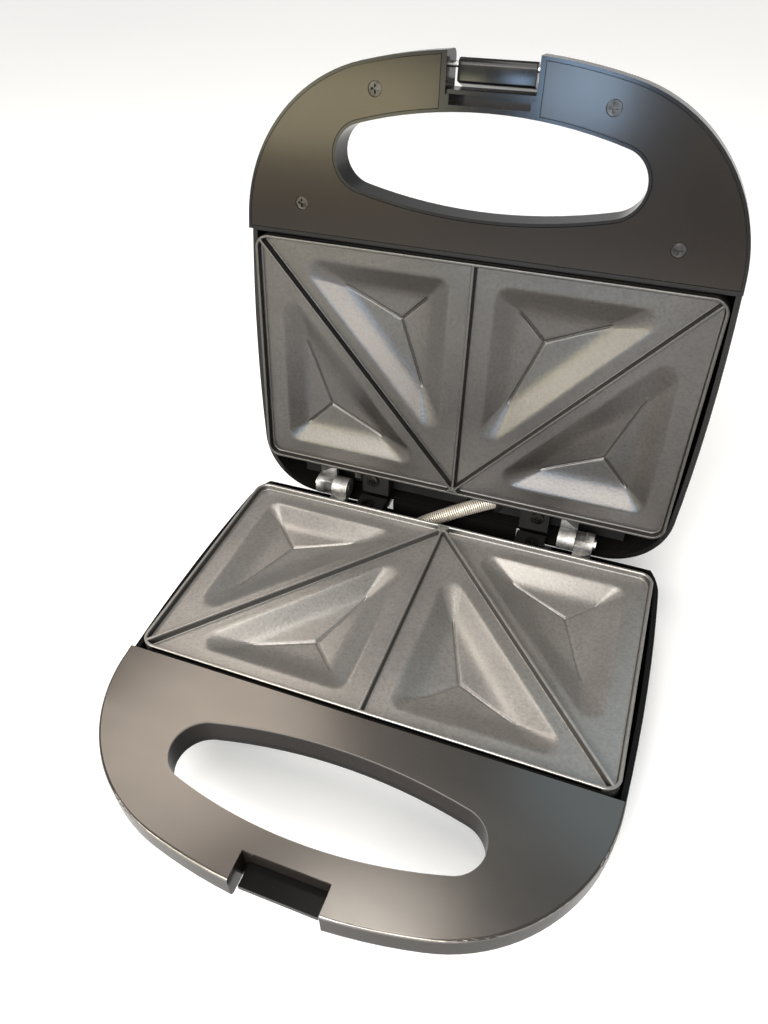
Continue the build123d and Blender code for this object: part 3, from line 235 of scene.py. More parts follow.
def glossShell(specular):
    # black moulding: glossy, with the faint ripple of the mould and a few dust specks
    def surface(w):
        ripple = w.noise(0.007, 2.0)
        haze = w.noise(0.028, 3.0, 0.6)
        dust = w.noise(0.0009, 1.0).ramp([(0.74, 0.0), (0.80, 1.0)])
        return {
            "Base Color": (dust * 0.12).blendColours((0.0075, 0.007, 0.0068, 1), (0.10, 0.095, 0.09, 1)),
            "Roughness": 0.10 + haze * 0.14 + dust * 0.3,
            "Specular IOR Level": specular,
            "Normal": ripple.bump(0.00003, 0.5),
        }
    return surface


def latchBlack(w):
    # the latch: deeper black and smoother than the shells, a little hazed where fingers press it
    haze = w.noise(0.010, 3.0, 0.6)
    return {
        "Base Color": haze.ramp([(0.3, (0.005, 0.005, 0.005)), (0.7, (0.011, 0.0105, 0.010))]),
        "Roughness": 0.13 + haze * 0.12,
        "Specular IOR Level": 0.22,
        "Normal": w.noise(0.005).bump(0.00001, 0.4),
    }


def mattBlack(w):
    # eroded mould surface of the hidden and rear fittings
    grain = w.noise(0.0008, 2.0, 0.6)
    wear = w.noise(0.012, 3.0)
    return {
        "Base Color": wear.ramp([(0.3, (0.004, 0.004, 0.004)), (0.7, (0.010, 0.0095, 0.009))]),
        "Roughness": 0.46 + grain * 0.16,
        "Specular IOR Level": 0.2,
        "Normal": grain.bump(0.00005, 0.7),
    }


def brightSteel(w):
    # drawn steel with fine scratches
    lines = w.noise(0.0009, 3.0, 0.6, w.stretched((1.0, 7.0, 7.0)))
    stain = w.noise(0.006, 2.0)
    return {
        "Base Color": stain.ramp([(0.3, (0.50, 0.49, 0.47)), (0.7, (0.70, 0.69, 0.67))]),
        "Metallic": 1.0,
        "Roughness": 0.18 + lines * 0.20,
        "Normal": lines.bump(0.00001, 0.5),
    }


def springSteel(w):
    # bright plated wire, warm in the light, with a soft stain along it
    stain = w.noise(0.009, 3.0)
    return {
        "Base Color": stain.ramp([(0.3, (0.70, 0.64, 0.54)), (0.7, (0.88, 0.83, 0.74))]),
        "Metallic": 0.55,
        "Roughness": 0.30 + stain * 0.12,
    }


def platedScrew(w):
    # darkened plated screw heads
    stain = w.noise(0.002, 2.0)
    return {
        "Base Color": stain.ramp([(0.3, (0.022, 0.020, 0.018)), (0.7, (0.060, 0.056, 0.052))]),
        "Metallic": 1.0,
        "Roughness": 0.24 + stain * 0.14,
        "Normal": w.noise(0.0004).bump(0.00001, 0.5),
    }


def tubeSteel(w):
    # heating tube: dull, browned by heat
    stain = w.noise(0.014, 4.0, 0.6)
    return {
        "Base Color": stain.ramp([(0.3, (0.09, 0.075, 0.06)), (0.7, (0.22, 0.20, 0.18))]),
        "Metallic": 0.9,
        "Roughness": 0.45 + stain * 0.15,
    }


def tinSheet(w):
    # tinned sheet with a faint bloom
    stain = w.noise(0.02, 3.0)
    return {
        "Base Color": stain.ramp([(0.3, (0.50, 0.50, 0.49)), (0.7, (0.64, 0.64, 0.63))]),
        "Metallic": 1.0,
        "Roughness": 0.24 + stain * 0.14,
    }


def whiteMoulding(w):
    # ceramic and white plastic fittings
    stain = w.noise(0.006, 3.0)
    return {
        "Base Color": stain.ramp([(0.3, (0.70, 0.69, 0.66)), (0.7, (0.80, 0.79, 0.77))]),
        "Roughness": 0.38 + stain * 0.12,
        "Normal": w.noise(0.0006).bump(0.00002, 0.5),
    }


def blackRubber(w):
    # soft rubber with dust in its grain
    grain = w.noise(0.0006, 2.0)
    dust = w.noise(0.009, 3.0)
    return {
        "Base Color": dust.ramp([(0.35, (0.012, 0.012, 0.012)), (0.75, (0.034, 0.033, 0.031))]),
        "Roughness": 0.62 + grain * 0.2,
        "Normal": grain.bump(0.00004, 0.7),
    }


def clearPlastic(colour, rough):
    # coloured lens or lamp glass with a light haze
    def surface(w):
        haze = w.noise(0.004, 2.0)
        return {
            "Base Color": haze.ramp([(0.2, colour), (0.8, shaded(colour, 1.1))]),
            "Roughness": rough + haze * 0.08,
            "Transmission Weight": 0.75,
            "IOR": 1.49,
        }
    return surface


finishes = {
    # one non-stick coat on both plates; the upper plate's copy gets a far darker tone as painted shade
    "lowerCoat": castCoating((0.350, 0.336, 0.318), 0.72, fieldHeight=0.04148),
    "upperCoatShaded": castCoating((0.080, 0.076, 0.072), 0.88),
    "bareCast": bareCast,
    "deckPaint": metallicPaint(
        (0.138, 0.127, 0.117), (0.160, 0.148, 0.136), 0.16, 0.92, 0.000004, wallTop=0.0433),
    # the handle insert carries the deck's gunmetal paint; its far darker tone is painted shade
    "insertPaintShaded": metallicPaint(
        (0.020, 0.0172, 0.0148), (0.0245, 0.0208, 0.018), 0.14, 0.8, 0.000012),
    "glossShell": glossShell(0.2),
    "tubShell": glossShell(0.06),
    "latchBlack": latchBlack,
    "mattBlack": mattBlack,
    "brightSteel": brightSteel,
    "springSteel": springSteel,
    "platedScrew": platedScrew,
    "tubeSteel": tubeSteel,
    "tinSheet": tinSheet,
    "whiteMoulding": whiteMoulding,
    "blackRubber": blackRubber,
    "redLens": clearPlastic((0.75, 0.06, 0.03), 0.14),
    "lampGlass": clearPlastic((0.95, 0.80, 0.62), 0.06),
}
finishes = {name: finish(name, surface) for name, surface in finishes.items()}

nodeFinishes = {
    "bottom_housing": "tubShell", "base_handle_deck": "deckPaint", "deck_screws": "platedScrew",
    "lower_cooking_plate": "lowerCoat", "lower_heating_element": "tubeSteel",
    "lower_reflector": "tinSheet", "lower_plate_screws": "brightSteel",
    "thermal_fuse": "whiteMoulding", "terminal_block": "whiteMoulding", "cord_bush": "blackRubber",
    "rubber_feet": "blackRubber", "base_rear_bridge": "mattBlack", "base_bridge_screws": "platedScrew",
    "hinge_pins": "brightSteel", "spring_conduit": "brightSteel", "lid_cover": "glossShell",
    "lid_handle_plate": "insertPaintShaded", "lid_handle_screws": "platedScrew",
    "upper_cooking_plate": "upperCoatShaded", "upper_heating_element": "tubeSteel",
    "upper_reflector": "tinSheet", "upper_plate_screws": "brightSteel", "thermostat": "mattBlack",
    "thermostat_bracket": "tinSheet", "neon_lamps": "lampGlass", "lamp_holder": "whiteMoulding",
    "indicator_lenses": "redLens", "lid_rear_bridge": "mattBlack", "lid_bridge_screws": "platedScrew",
    "latch_pin": "brightSteel", "latch": "latchBlack",
}
for nodeName, finishName in nodeFinishes.items():
    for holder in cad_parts[nodeName].material_slots:
        holder.material = finishes[finishName]
print("finishes done")


def gridFaces(rows, cols, wrapCols=False, flip=False):
    # quads between neighbouring points of a grid; wrapped columns join the last one to the first
    row, col = np.meshgrid(np.arange(rows - 1), np.arange(cols if wrapCols else cols - 1), indexing="ij")
    nextRow, nextCol = row + 1, (col + 1) % cols
    around = [row * cols + col, nextRow * cols + col, nextRow * cols + nextCol, row * cols + nextCol]
    return np.stack(around[::-1] if flip else around, -1).reshape(-1, 4)


def gridMesh(name, sheets):
    # one mesh from several grids, each {"points", "wrapCols", "flip"} with its points in metres
    points, faces, start = [], [], 0
    for sheet in sheets:
        rows, cols = sheet["points"].shape[:2]
        points.append(sheet["points"].reshape(-1, 3))
        faces.append(gridFaces(rows, cols, sheet.get("wrapCols"), sheet.get("flip")) + start)
        start += rows * cols
    points, faces = np.concatenate(points), np.concatenate(faces)
    made = bpy.data.meshes.new(name)
    made.vertices.add(len(points))
    made.vertices.foreach_set("co", points.astype(np.float32).ravel())
    made.loops.add(faces.size)
    made.loops.foreach_set("vertex_index", faces.astype(np.int32).ravel())
    made.polygons.add(len(faces))
    made.polygons.foreach_set("loop_start", np.arange(0, faces.size, 4, dtype=np.int32))
    made.update(calc_edges=True)
    return made


weldReach = {"grid": 0.000002, "solid": 0.0000002}  # metres between points that become one


def weld(name, meshes, finishNames, sharpAngle, kind="grid", fill=None):
    # the meshes become one object, with doubles merged and edges sharper than the angle kept sharp;
    # fill is the way along which open ends are closed with flat caps
    near = weldReach[kind]
    work = bmesh.new()
    for mesh in meshes:
        work.from_mesh(mesh)
    bmesh.ops.remove_doubles(work, verts=work.verts, dist=near)
    if kind == "grid":
        bmesh.ops.dissolve_degenerate(work, edges=work.edges, dist=near)
    if fill:
        openEdges = [edge for edge in work.edges if edge.is_boundary]
        spots = [(edge.verts[0].co + edge.verts[1].co).dot(Vector(fill)) for edge in openEdges]
        middle = (min(spots) + max(spots)) / 2
        for side in (-1, 1):
            ends = [edge for edge, spot in zip(openEdges, spots) if (spot - middle) * side > 0]
            bmesh.ops.triangle_fill(work, use_beauty=True, edges=ends, normal=Vector(fill) * side)
    made = bpy.data.meshes.new(name)
    work.to_mesh(made)
    work.free()
    made.shade_smooth()
    made.set_sharp_from_angle(angle=math.radians(sharpAngle))
    for finishName in finishNames:
        made.materials.append(finishes[finishName])
    piece = bpy.data.objects.new(name, made)
    bpy.context.scene.collection.objects.link(piece)
    return piece


def roundedTriangle(corners, radius, arcSteps, edgeSteps):
    # outline of a triangle whose corners are rounded; every corner and edge has set counts of points:
    # corner point = centre of its arc - radius * (cos share * inward - sin share * along the edge)
    corners = np.asarray(corners, float)
    outline = []
    for k in range(3):
        here, before, after = corners[k], corners[k - 1], corners[(k + 1) % 3]
        toBefore = (before - here) / np.linalg.norm(before - here)
        toAfter = (after - here) / np.linalg.norm(after - here)
        half = 0.5 * math.acos(np.clip(toBefore @ toAfter, -1, 1))
        inward = (toBefore + toAfter) / np.linalg.norm(toBefore + toAfter)
        centre = here + inward * radius / math.sin(half)
        share = np.linspace(-1, 1, arcSteps)[:, None] * (math.pi / 2 - half)
        side = np.array([-inward[1], inward[0]])
        side = side * np.sign(side @ toAfter)
        outline.append(centre - radius * (np.cos(share) * inward - np.sin(share) * side))
    points = []
    for k in range(3):
        arc, nextArc = outline[k], outline[(k + 1) % 3]
        along = np.linspace(0, 1, edgeSteps + 2)[1:-1, None]
        points += [arc, arc[-1] + (nextArc[0] - arc[-1]) * along]
    return np.concatenate(points)


def inCentre(corners):
    # centre = mean of the corners weighed by the opposite edges; reach = its distance from an edge
    corners = np.asarray(corners, float)
    weights = np.linalg.norm(np.roll(corners, -1, 0) - np.roll(corners, 1, 0), axis=1)
    centre = (weights[:, None] * corners).sum(0) / weights.sum()
    edge = corners[1] - corners[0]
    across = corners[0] - centre
    return centre, abs(edge[0] * across[1] - edge[1] * across[0]) / np.linalg.norm(edge)


plate = {  # a cooking plate in its seat, millimetres
    "halfWidth": 110.0, "rear": -11.0, "front": -135.2, "corner": 7.0, "field": -3.52,
    "pocketDepth": 5.0, "floorFall": 0.5,  # at the wall's foot, and from there to the apex
    "wallRun": 11.0, "lipRadius": 6.0, "toeRadius": 1.2, "lipSoftness": 0.075, "toeSoftness": 0.26,
    "overLip": 2.6, "lipFade": 2.0,  # how far the lip's turn runs past the mouth, and how it ends
    "creaseDepth": 0.6, "creaseWidth": 0.5, "creaseReach": 0.94,
    "floorShares": [0.0, 0.03, 0.08, 0.16, 0.27, 0.38, 0.49, 0.60, 0.70, 0.79, 0.87, 0.94],
    "wallSteps": 27, "fieldShares": [0.35, 1.0], "arcSteps": 13, "edgeSteps": 46,
    "sectionCorner": 0.2, "underRim": 0.8, "sharpAngle": 38.0,
    # corners of the mouths of the right-hand pockets: the rear outer one and the front inner one
    "pockets": [
        [(17.90, -22.0), (98.0, -22.0), (98.0, -111.12)],
        [(11.0, -37.40), (11.0, -125.4), (90.09, -125.4)],
    ],
    # the parts of the field that hold them, out to the middles of the ridges and under the rim
    "sections": [
        [(0.0, -12.2), (109.3, -12.2), (109.3, -134.4)],
        [(0.0, -12.2), (0.0, -134.4), (109.3, -134.4)],
    ],
    # (inset from the outline, height) over the rim, and (across, height) up to a ridge's middle
    "rim": [
        (0.0, -2.5), (0.0, -0.75), (0.03, -0.45), (0.14, -0.26), (0.32, -0.155), (0.55, -0.12),
        (0.95, -0.12), (1.18, -0.155), (1.36, -0.26), (1.47, -0.45), (1.5, -0.75), (1.5, -2.7),
        (1.56, -3.05), (1.75, -3.32), (2.05, -3.47), (2.5, -3.525),
    ],
    "ridge": [
        (-1.75, -3.53), (-1.5, -3.48), (-1.34, -3.32), (-1.25, -3.0), (-0.68, -0.42),
        (-0.62, -0.24), (-0.50, -0.155), (-0.36, -0.14), (0.0, -0.14),
    ],
    "ridgeStart": (0.0, -13.0), "ridgeEnds": [(107.3, -132.37), (-107.3, -132.37), (0.0, -134.3)],
    # the wedge at the ridges' meeting: its corners and (inset, height) up to its flat top
    "wedge": [(-4.6, -11.4), (0.0, -18.2), (4.6, -11.4)], "wedgeCorner": 0.5, "wedgeTaper": 0.2,
    "wedgeRings": [(-0.35, -3.56), (0.0, -3.3), (0.45, -0.5), (0.6, -0.24), (0.85, -0.14)],
    "wedgeTop": -0.13,
    # castBody takes off the faces inside skin that look up, and the upright ones inside wallInset and
    # above wallFoot; what is above topBand goes down to wallTop; knuckles begin behind knuckleRear
    "skin": 0.05, "upright": 0.02, "wallInset": 0.5, "wallFoot": -3.6,
    "topBand": -0.3, "wallTop": -0.9, "knuckleRear": 0.3,
}
tiny = 0.0001  # keeps a ring from shrinking to nothing before its points are merged


def outlineMiddles():
    # the plate's middle, and half the spans between the centres of its rounded corners
    half = np.array([plate["halfWidth"], (plate["rear"] - plate["front"]) / 2]) - plate["corner"]
    return np.array([0.0, (plate["rear"] + plate["front"]) / 2]), half


def keepInside(points, inset):
    # a point outside the rounded corner goes to: corner centre + (point - centre) * allowed / distance
    middle, half = outlineMiddles()
    reach = np.maximum(np.abs(points - middle) - half, 0)
    far = np.linalg.norm(reach, axis=-1, keepdims=True)
    allowed = plate["corner"] - inset
    pull = np.where(far > allowed, allowed / np.maximum(far, 1e-9), 1.0)
    return np.where(reach > 0, middle + np.sign(points - middle) * (half + reach * pull), points)


def segmentDistance(points, start, end):
    # distance from the line's nearest point, which lies at a share of its run from 0 to 1
    start, end = np.asarray(start, float), np.asarray(end, float)
    run = end - start
    share = np.clip(((points - start) @ run) / (run @ run), 0, 1)
    return np.linalg.norm(points - start - share[..., None] * run, axis=-1)


def softRamp(x, softness):
    # half of (x + root of (x squared + softness squared)): near zero below nought and near x above
    return 0.5 * (x + math.sqrt(x * x + softness**2))


def pocketSheet(pocket, section):
    # rings round a pocket: depth = pocket depth * (soft ramp at the lip - soft ramp at the toe)
    # + fall of the floor * (1 - spread of the ring) + a bell-shaped groove along the three creases;
    # the last rings run out flat to the section's edge under the rim and the ridges
    p = plate
    centre, reach = inCentre(pocket)
    corners = np.asarray(pocket, float)
    steps = (p["arcSteps"], p["edgeSteps"])
    insets = [reach - (reach - p["wallRun"]) * share for share in p["floorShares"]]
    insets += list(np.linspace(p["wallRun"], -p["overLip"], p["wallSteps"]))
    rings, depths = [], []
    for inset in insets:
        share = inset / p["wallRun"]
        spread = min((reach - inset) / (reach - p["wallRun"]), 1.0)
        radius = p["lipRadius"] + (p["toeRadius"] - p["lipRadius"]) * min(share, 1.0)
        shrunk = 1 - min(inset, reach - 10 * tiny) / reach
        ring = roundedTriangle(centre + (corners - centre) * shrunk, radius * max(spread, tiny), *steps)
        fade = min(max((inset + p["overLip"]) / p["lipFade"], 0), 1)
        ramp = (softRamp(share, p["lipSoftness"]) - softRamp(share - 1, p["toeSoftness"])) * fade
        rings.append(ring)
        depths.append(np.full(len(ring), p["pocketDepth"] * ramp + p["floorFall"] * (1 - spread)))
    edge = keepInside(roundedTriangle(section, p["sectionCorner"], *steps), p["underRim"])
    for share in p["fieldShares"]:
        rings.append(rings[-1] + (edge - rings[-1]) * share)
        depths.append(np.zeros(len(edge)))
    flat, depth = np.stack(rings), np.stack(depths)
    groove = np.zeros(depth.shape)
    for corner in corners:
        end = centre + (corner - centre) * (1 - p["wallRun"] / reach) * p["creaseReach"]
        away = segmentDistance(flat, centre, end)
        groove = np.maximum(groove, np.exp(-((away / p["creaseWidth"]) ** 2)))
    depth = depth + p["creaseDepth"] * groove
    return np.concatenate([flat, (p["field"] - depth)[..., None]], -1)


def roundedRing(inset, cornerSteps=14, edgeSteps=24):
    # the plate's outline drawn in by an inset, counterclockwise from the right-hand side:
    # corner point = corner centre + (corner radius - inset) * (cos turn, sin turn)
    middle, half = outlineMiddles()
    points = []
    for k, (sx, sy) in enumerate([(1, 1), (-1, 1), (-1, -1), (1, -1)]):
        turn = np.linspace(0, math.pi / 2, cornerSteps) + k * math.pi / 2
        arc = middle + half * (sx, sy) + (plate["corner"] - inset) * np.stack([np.cos(turn), np.sin(turn)], -1)
        points.append(arc)
    outline = []
    for k in range(4):
        start, end = points[k][-1], points[(k + 1) % 4][0]
        outline += [points[k], start + (end - start) * np.linspace(0, 1, edgeSteps + 2)[1:-1, None]]
    return np.concatenate(outline)


def rimSheet():
    # the rim: its profile of insets and heights carried round the plate's outline
    rings = [roundedRing(inset) for inset, height in plate["rim"]]
    heights = [np.full((len(ring), 1), height) for ring, (inset, height) in zip(rings, plate["rim"])]
    return np.concatenate([np.stack(rings), np.stack(heights)], -1)


def ridgeSheet(start, end, steps=60):
    # a ridge: point = start + (end - start) * along + profile's width * side, at the profile's height
    profile = np.array(plate["ridge"])
    profile = np.concatenate([profile, profile[:-1][::-1] * (-1, 1)])
    start, end = np.asarray(start, float), np.asarray(end, float)
    way = (end - start) / np.linalg.norm(end - start)
    side = np.array([-way[1], way[0]])
    along = np.linspace(0, 1, steps)[:, None, None]
    flat = start + (end - start) * along + profile[None, :, :1] * side
    return np.concatenate([flat, np.broadcast_to(profile[None, :, 1:], flat.shape[:2] + (1,))], -1)


def wedgeSheet(arcSteps=7, edgeSteps=8):
    # low wedge where the three ridges meet at the rear rim: its outline drawn in to a pole
    centre, reach = inCentre(plate["wedge"])
    rings = []
    for inset, height in plate["wedgeRings"] + [(reach - tiny, plate["wedgeTop"])]:
        drawn = centre + (np.asarray(plate["wedge"]) - centre) * (1 - inset / reach)
        radius = min(plate["wedgeCorner"] - inset * plate["wedgeTaper"], reach - inset)
        ring = roundedTriangle(drawn, radius, arcSteps, edgeSteps)
        rings.append(np.concatenate([ring, np.full((len(ring), 1), height)], 1))
    return np.stack(rings)


def castBody(node, half):
    # the casting's wall, underside, bosses and knuckles: the frame's solid with its upper face taken
    # off and its wall lowered a little, so that the rim closes over it
    p = plate
    work = bmesh.new()
    work.from_mesh(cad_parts[node].data)
    bmesh.ops.remove_doubles(work, verts=work.verts, dist=weldReach["grid"])
    middles = toSeat([face.calc_center_median() for face in work.faces], half)
    rises = (np.array([face.normal for face in work.faces]) @ seatAxes(half).T)[:, 2]
    middle, corners = outlineMiddles()
    reach = np.abs(middles[:, :2] - middle) - corners
    inset = p["corner"] - np.linalg.norm(np.maximum(reach, 0), axis=1)
    upper = (inset > p["skin"]) & (rises > p["upright"])
    upper |= (inset > p["wallInset"]) & (np.abs(rises) <= p["upright"]) & (middles[:, 2] > p["wallFoot"])
    bmesh.ops.delete(work, geom=[face for face, gone in zip(work.faces, upper) if gone], context="FACES")
    made = bpy.data.meshes.new(node + "Body")
    work.to_mesh(made)
    work.free()

    points = np.zeros(len(made.vertices) * 3)
    made.vertices.foreach_get("co", points)
    points = points.reshape(-1, 3)
    places = toSeat(points, half)
    lower = (places[:, 2] > p["topBand"]) & (places[:, 1] < p["rear"] + p["skin"])
    places[lower, 2] = p["wallTop"]
    points[lower] = toRow(places[lower], half)
    made.vertices.foreach_set("co", points.ravel())
    made.update()

    centres = np.zeros(len(made.polygons) * 3)
    made.polygons.foreach_get("center", centres)
    knuckle = toSeat(centres.reshape(-1, 3), half)[:, 1] > p["rear"] + p["knuckleRear"]
    made.polygons.foreach_set("material_index", knuckle.astype(np.int32))  # 1 is the bare cast finish
    return made


def makePlate(name, node, half, coat, body):
    shapes = []  # (seat points, whether the last column joins the first)
    for pocket, section in zip(plate["pockets"], plate["sections"]):
        right = pocketSheet(pocket, section)
        shapes += [(right * (side, 1, 1), True) for side in (1, -1)]
    shapes.append((rimSheet(), True))
    shapes += [(ridgeSheet(plate["ridgeStart"], end), False) for end in plate["ridgeEnds"]]
    shapes.append((wedgeSheet(), True))
    sheets = []
    for points, wrapCols in shapes:
        # wound so that the sum of its faces' areas looks up from the seat
        placed = toRow(points.reshape(-1, 3), half)
        corners = placed[gridFaces(*points.shape[:2], wrapCols)]
        area = np.cross(corners[:, 2] - corners[:, 0], corners[:, 3] - corners[:, 1]).sum(0)
        down = bool(area @ seatAxes(half)[2] < 0)
        sheets.append({"points": placed.reshape(points.shape), "wrapCols": wrapCols, "flip": down})
    meshes = [gridMesh(name, sheets), castBody(node, half)]
    piece = weld(name, meshes, [coat, "bareCast"], plate["sharpAngle"])
    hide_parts(node)
    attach(piece, body)


def weighNormals(piece, sharpAngle):
    # each corner's normal is the sum of area times normal over the faces at its point that lean from
    # its own face by less than the sharp angle, so large flat faces stay flat beside small roundings
    mesh = piece.data
    faceCount, cornerCount = len(mesh.polygons), len(mesh.loops)
    normals, areas = np.zeros(faceCount * 3), np.zeros(faceCount)
    totals, points = np.zeros(faceCount, np.int32), np.zeros(cornerCount, np.int32)
    mesh.polygons.foreach_get("normal", normals)
    mesh.polygons.foreach_get("area", areas)
    mesh.polygons.foreach_get("loop_total", totals)
    mesh.loops.foreach_get("vertex_index", points)
    faces = np.repeat(np.arange(faceCount), totals)
    order = np.argsort(points, kind="stable")
    own = normals.reshape(-1, 3)[faces[order]]
    weighed = own * areas[faces[order], None]
    total, sortedPoints = weighed.copy(), points[order]
    for step in range(1, np.bincount(points).max()):
        near = sortedPoints[step:] == sortedPoints[:-step]
        alike = (own[step:] * own[:-step]).sum(1) > math.cos(math.radians(sharpAngle))
        use = (near & alike)[:, None]
        total[step:] += weighed[:-step] * use
        total[:-step] += weighed[step:] * use
    total /= np.maximum(np.linalg.norm(total, axis=1, keepdims=True), 1e-20)
    unsorted = np.zeros_like(total)
    unsorted[order] = total
    mesh.normals_split_custom_set(unsorted.tolist())


# Mouldings whose roundings need even shading: {node: (piece, finish, body, slot)}
shells = {
    "bottom_housing": ("tub_moulding", "tubShell", "base", "shell_dark"),
    "base_handle_deck": ("deck_moulding", "deckPaint", "base", "handle_metallic"),
    "lid_cover": ("cover_moulding", "glossShell", "lid", "shell_dark"),
    "lid_handle_plate": ("insert_moulding", "insertPaintShaded", "lid", "handle_metallic"),
}
shellAngle = 42.0  # edges of the mouldings that turn by more stay sharp
for nodeName, (pieceName, finishName, bodyName, slotName) in shells.items():
    piece = weld(pieceName, [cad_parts[nodeName].data], [finishName], shellAngle, kind="solid")
    weighNormals(piece, shellAngle)
    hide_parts(nodeName)
    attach(piece, bodyName)
print("mouldings done")

latch = {  # millimetres; the pin in the lid's seat, the outline about the pin
    "pin": (0.0, -211.0, -12.0), "turn": -24.2, "halfWidth": 16.3, "barrel": 2.7, "bore": 1.3,
    "armTop": -3.8, "armLow": -6.4, "armEnd": 26.8, "hookTop": -0.3, "hook": 2.6, "waist": 1.65,
    "rounding": 0.5, "endRounding": 0.35, "barrelEnd": 195.0, "steps": 28,
    "sharpAngle": 50.0,
}


def roundCorners(corners, radii, steps=7):
    # outline whose corners are replaced by arcs of the given radii, inward corners too:
    # the arc's centre lies radius / sin(half the corner) from the corner, along its bisector
    corners = np.asarray(corners, float)
    points = []
    for k, radius in enumerate(radii):
        here, before, after = corners[k], corners[k - 1], corners[(k + 1) % len(corners)]
        if radius == 0:
            points.append(here[None])
            continue
        toBefore = (before - here) / np.linalg.norm(before - here)
        toAfter = (after - here) / np.linalg.norm(after - here)
        half = 0.5 * math.acos(np.clip(toBefore @ toAfter, -1, 1))
        run = radius / math.tan(half)
        share = np.linspace(0, 1, steps)[:, None]
        start, end = here + toBefore * run, here + toAfter * run
        bisector = (toBefore + toAfter) / np.linalg.norm(toBefore + toAfter)
        centre = here + bisector * radius / math.sin(half)
        arc = start + (end - start) * share - centre
        points.append(centre + arc / np.linalg.norm(arc, axis=1, keepdims=True) * radius)
    return np.concatenate(points)


def outlineNormals(outline):
    # outward normals of a counterclockwise outline: the neighbours' run turned by a quarter
    along = np.roll(outline, -1, 0) - np.roll(outline, 1, 0)
    normal = np.stack([along[:, 1], -along[:, 0]], -1)
    return normal / np.maximum(np.linalg.norm(normal, axis=1, keepdims=True), 1e-9)


def makeLatch():
    # the barrel's arc runs into a front that draws back to the arm's root; the arm ends in the hook.
    # The outline is carried along the pin and drawn in at both ends by a quarter round
    k = latch
    turn = np.radians(np.linspace(0, k["barrelEnd"], k["steps"]))
    barrel = k["barrel"] * np.stack([np.cos(turn), np.sin(turn)], -1)
    corners = [
        tuple(barrel[0]), tuple(barrel[-1]), (k["waist"] - k["barrel"], k["armLow"]),
        (k["armEnd"], k["armLow"]), (k["armEnd"], k["hookTop"]), (k["armEnd"] - k["hook"], k["hookTop"]),
        (k["armEnd"] - k["hook"], k["armTop"]), (k["barrel"], k["armTop"]),
    ]
    arm = roundCorners(corners, [0, 0] + [k["rounding"]] * 6)[2:]
    outline = np.concatenate([barrel, arm])
    inward = -outlineNormals(outline)
    bend = np.linspace(0, math.pi / 2, 6)
    offsets = k["endRounding"] * (1 - np.sin(bend))
    ends = k["halfWidth"] - k["endRounding"] * (1 - np.cos(bend))
    offsets, places = np.concatenate([offsets, offsets[::-1]]), np.concatenate([-ends, ends[::-1]])
    flat = outline[None] + inward[None] * offsets[:, None, None]
    ring = np.radians(np.linspace(0, 360, k["steps"], endpoint=False))
    bore = np.broadcast_to(k["bore"] * np.stack([np.cos(ring), np.sin(ring)], -1), (2, k["steps"], 2))
    angle = math.radians(k["turn"])
    axes = np.array([[0, math.cos(angle), math.sin(angle)], [0, -math.sin(angle), math.cos(angle)]])
    origin = toRow([k["pin"]], "lid")[0]
    sheets = []
    for profile, along, flip in ((flat, places, True), (bore, places[[0, -1]], False)):
        points = origin + profile @ axes * mm + (along * mm)[:, None, None] * (1, 0, 0)
        sheets.append({"points": points, "wrapCols": True, "flip": flip})
    mesh = gridMesh("latch", sheets)
    piece = weld("latch_moulding", [mesh], ["latchBlack"], k["sharpAngle"], fill=(1, 0, 0))
    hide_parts("latch")
    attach(piece, "latch")


makeLatch()
print("latch done")

makePlate("lower_plate_casting", "lower_cooking_plate", "base", "lowerCoat", "base")
makePlate("upper_plate_casting", "upper_cooking_plate", "lid", "upperCoatShaded", "lid")
print("plates done")

sleeve = {  # millimetres; where the conduit enters each socket, and its winding
    "entry": (-18.0, -1.5, -14.5), "radius": 4.0, "wire": 0.47, "pitch": 1.13,
    "bow": 4.0, "straight": 8.0, "perTurn": 22, "wireSides": 8,
    "sharpAngle": 60.0,
}


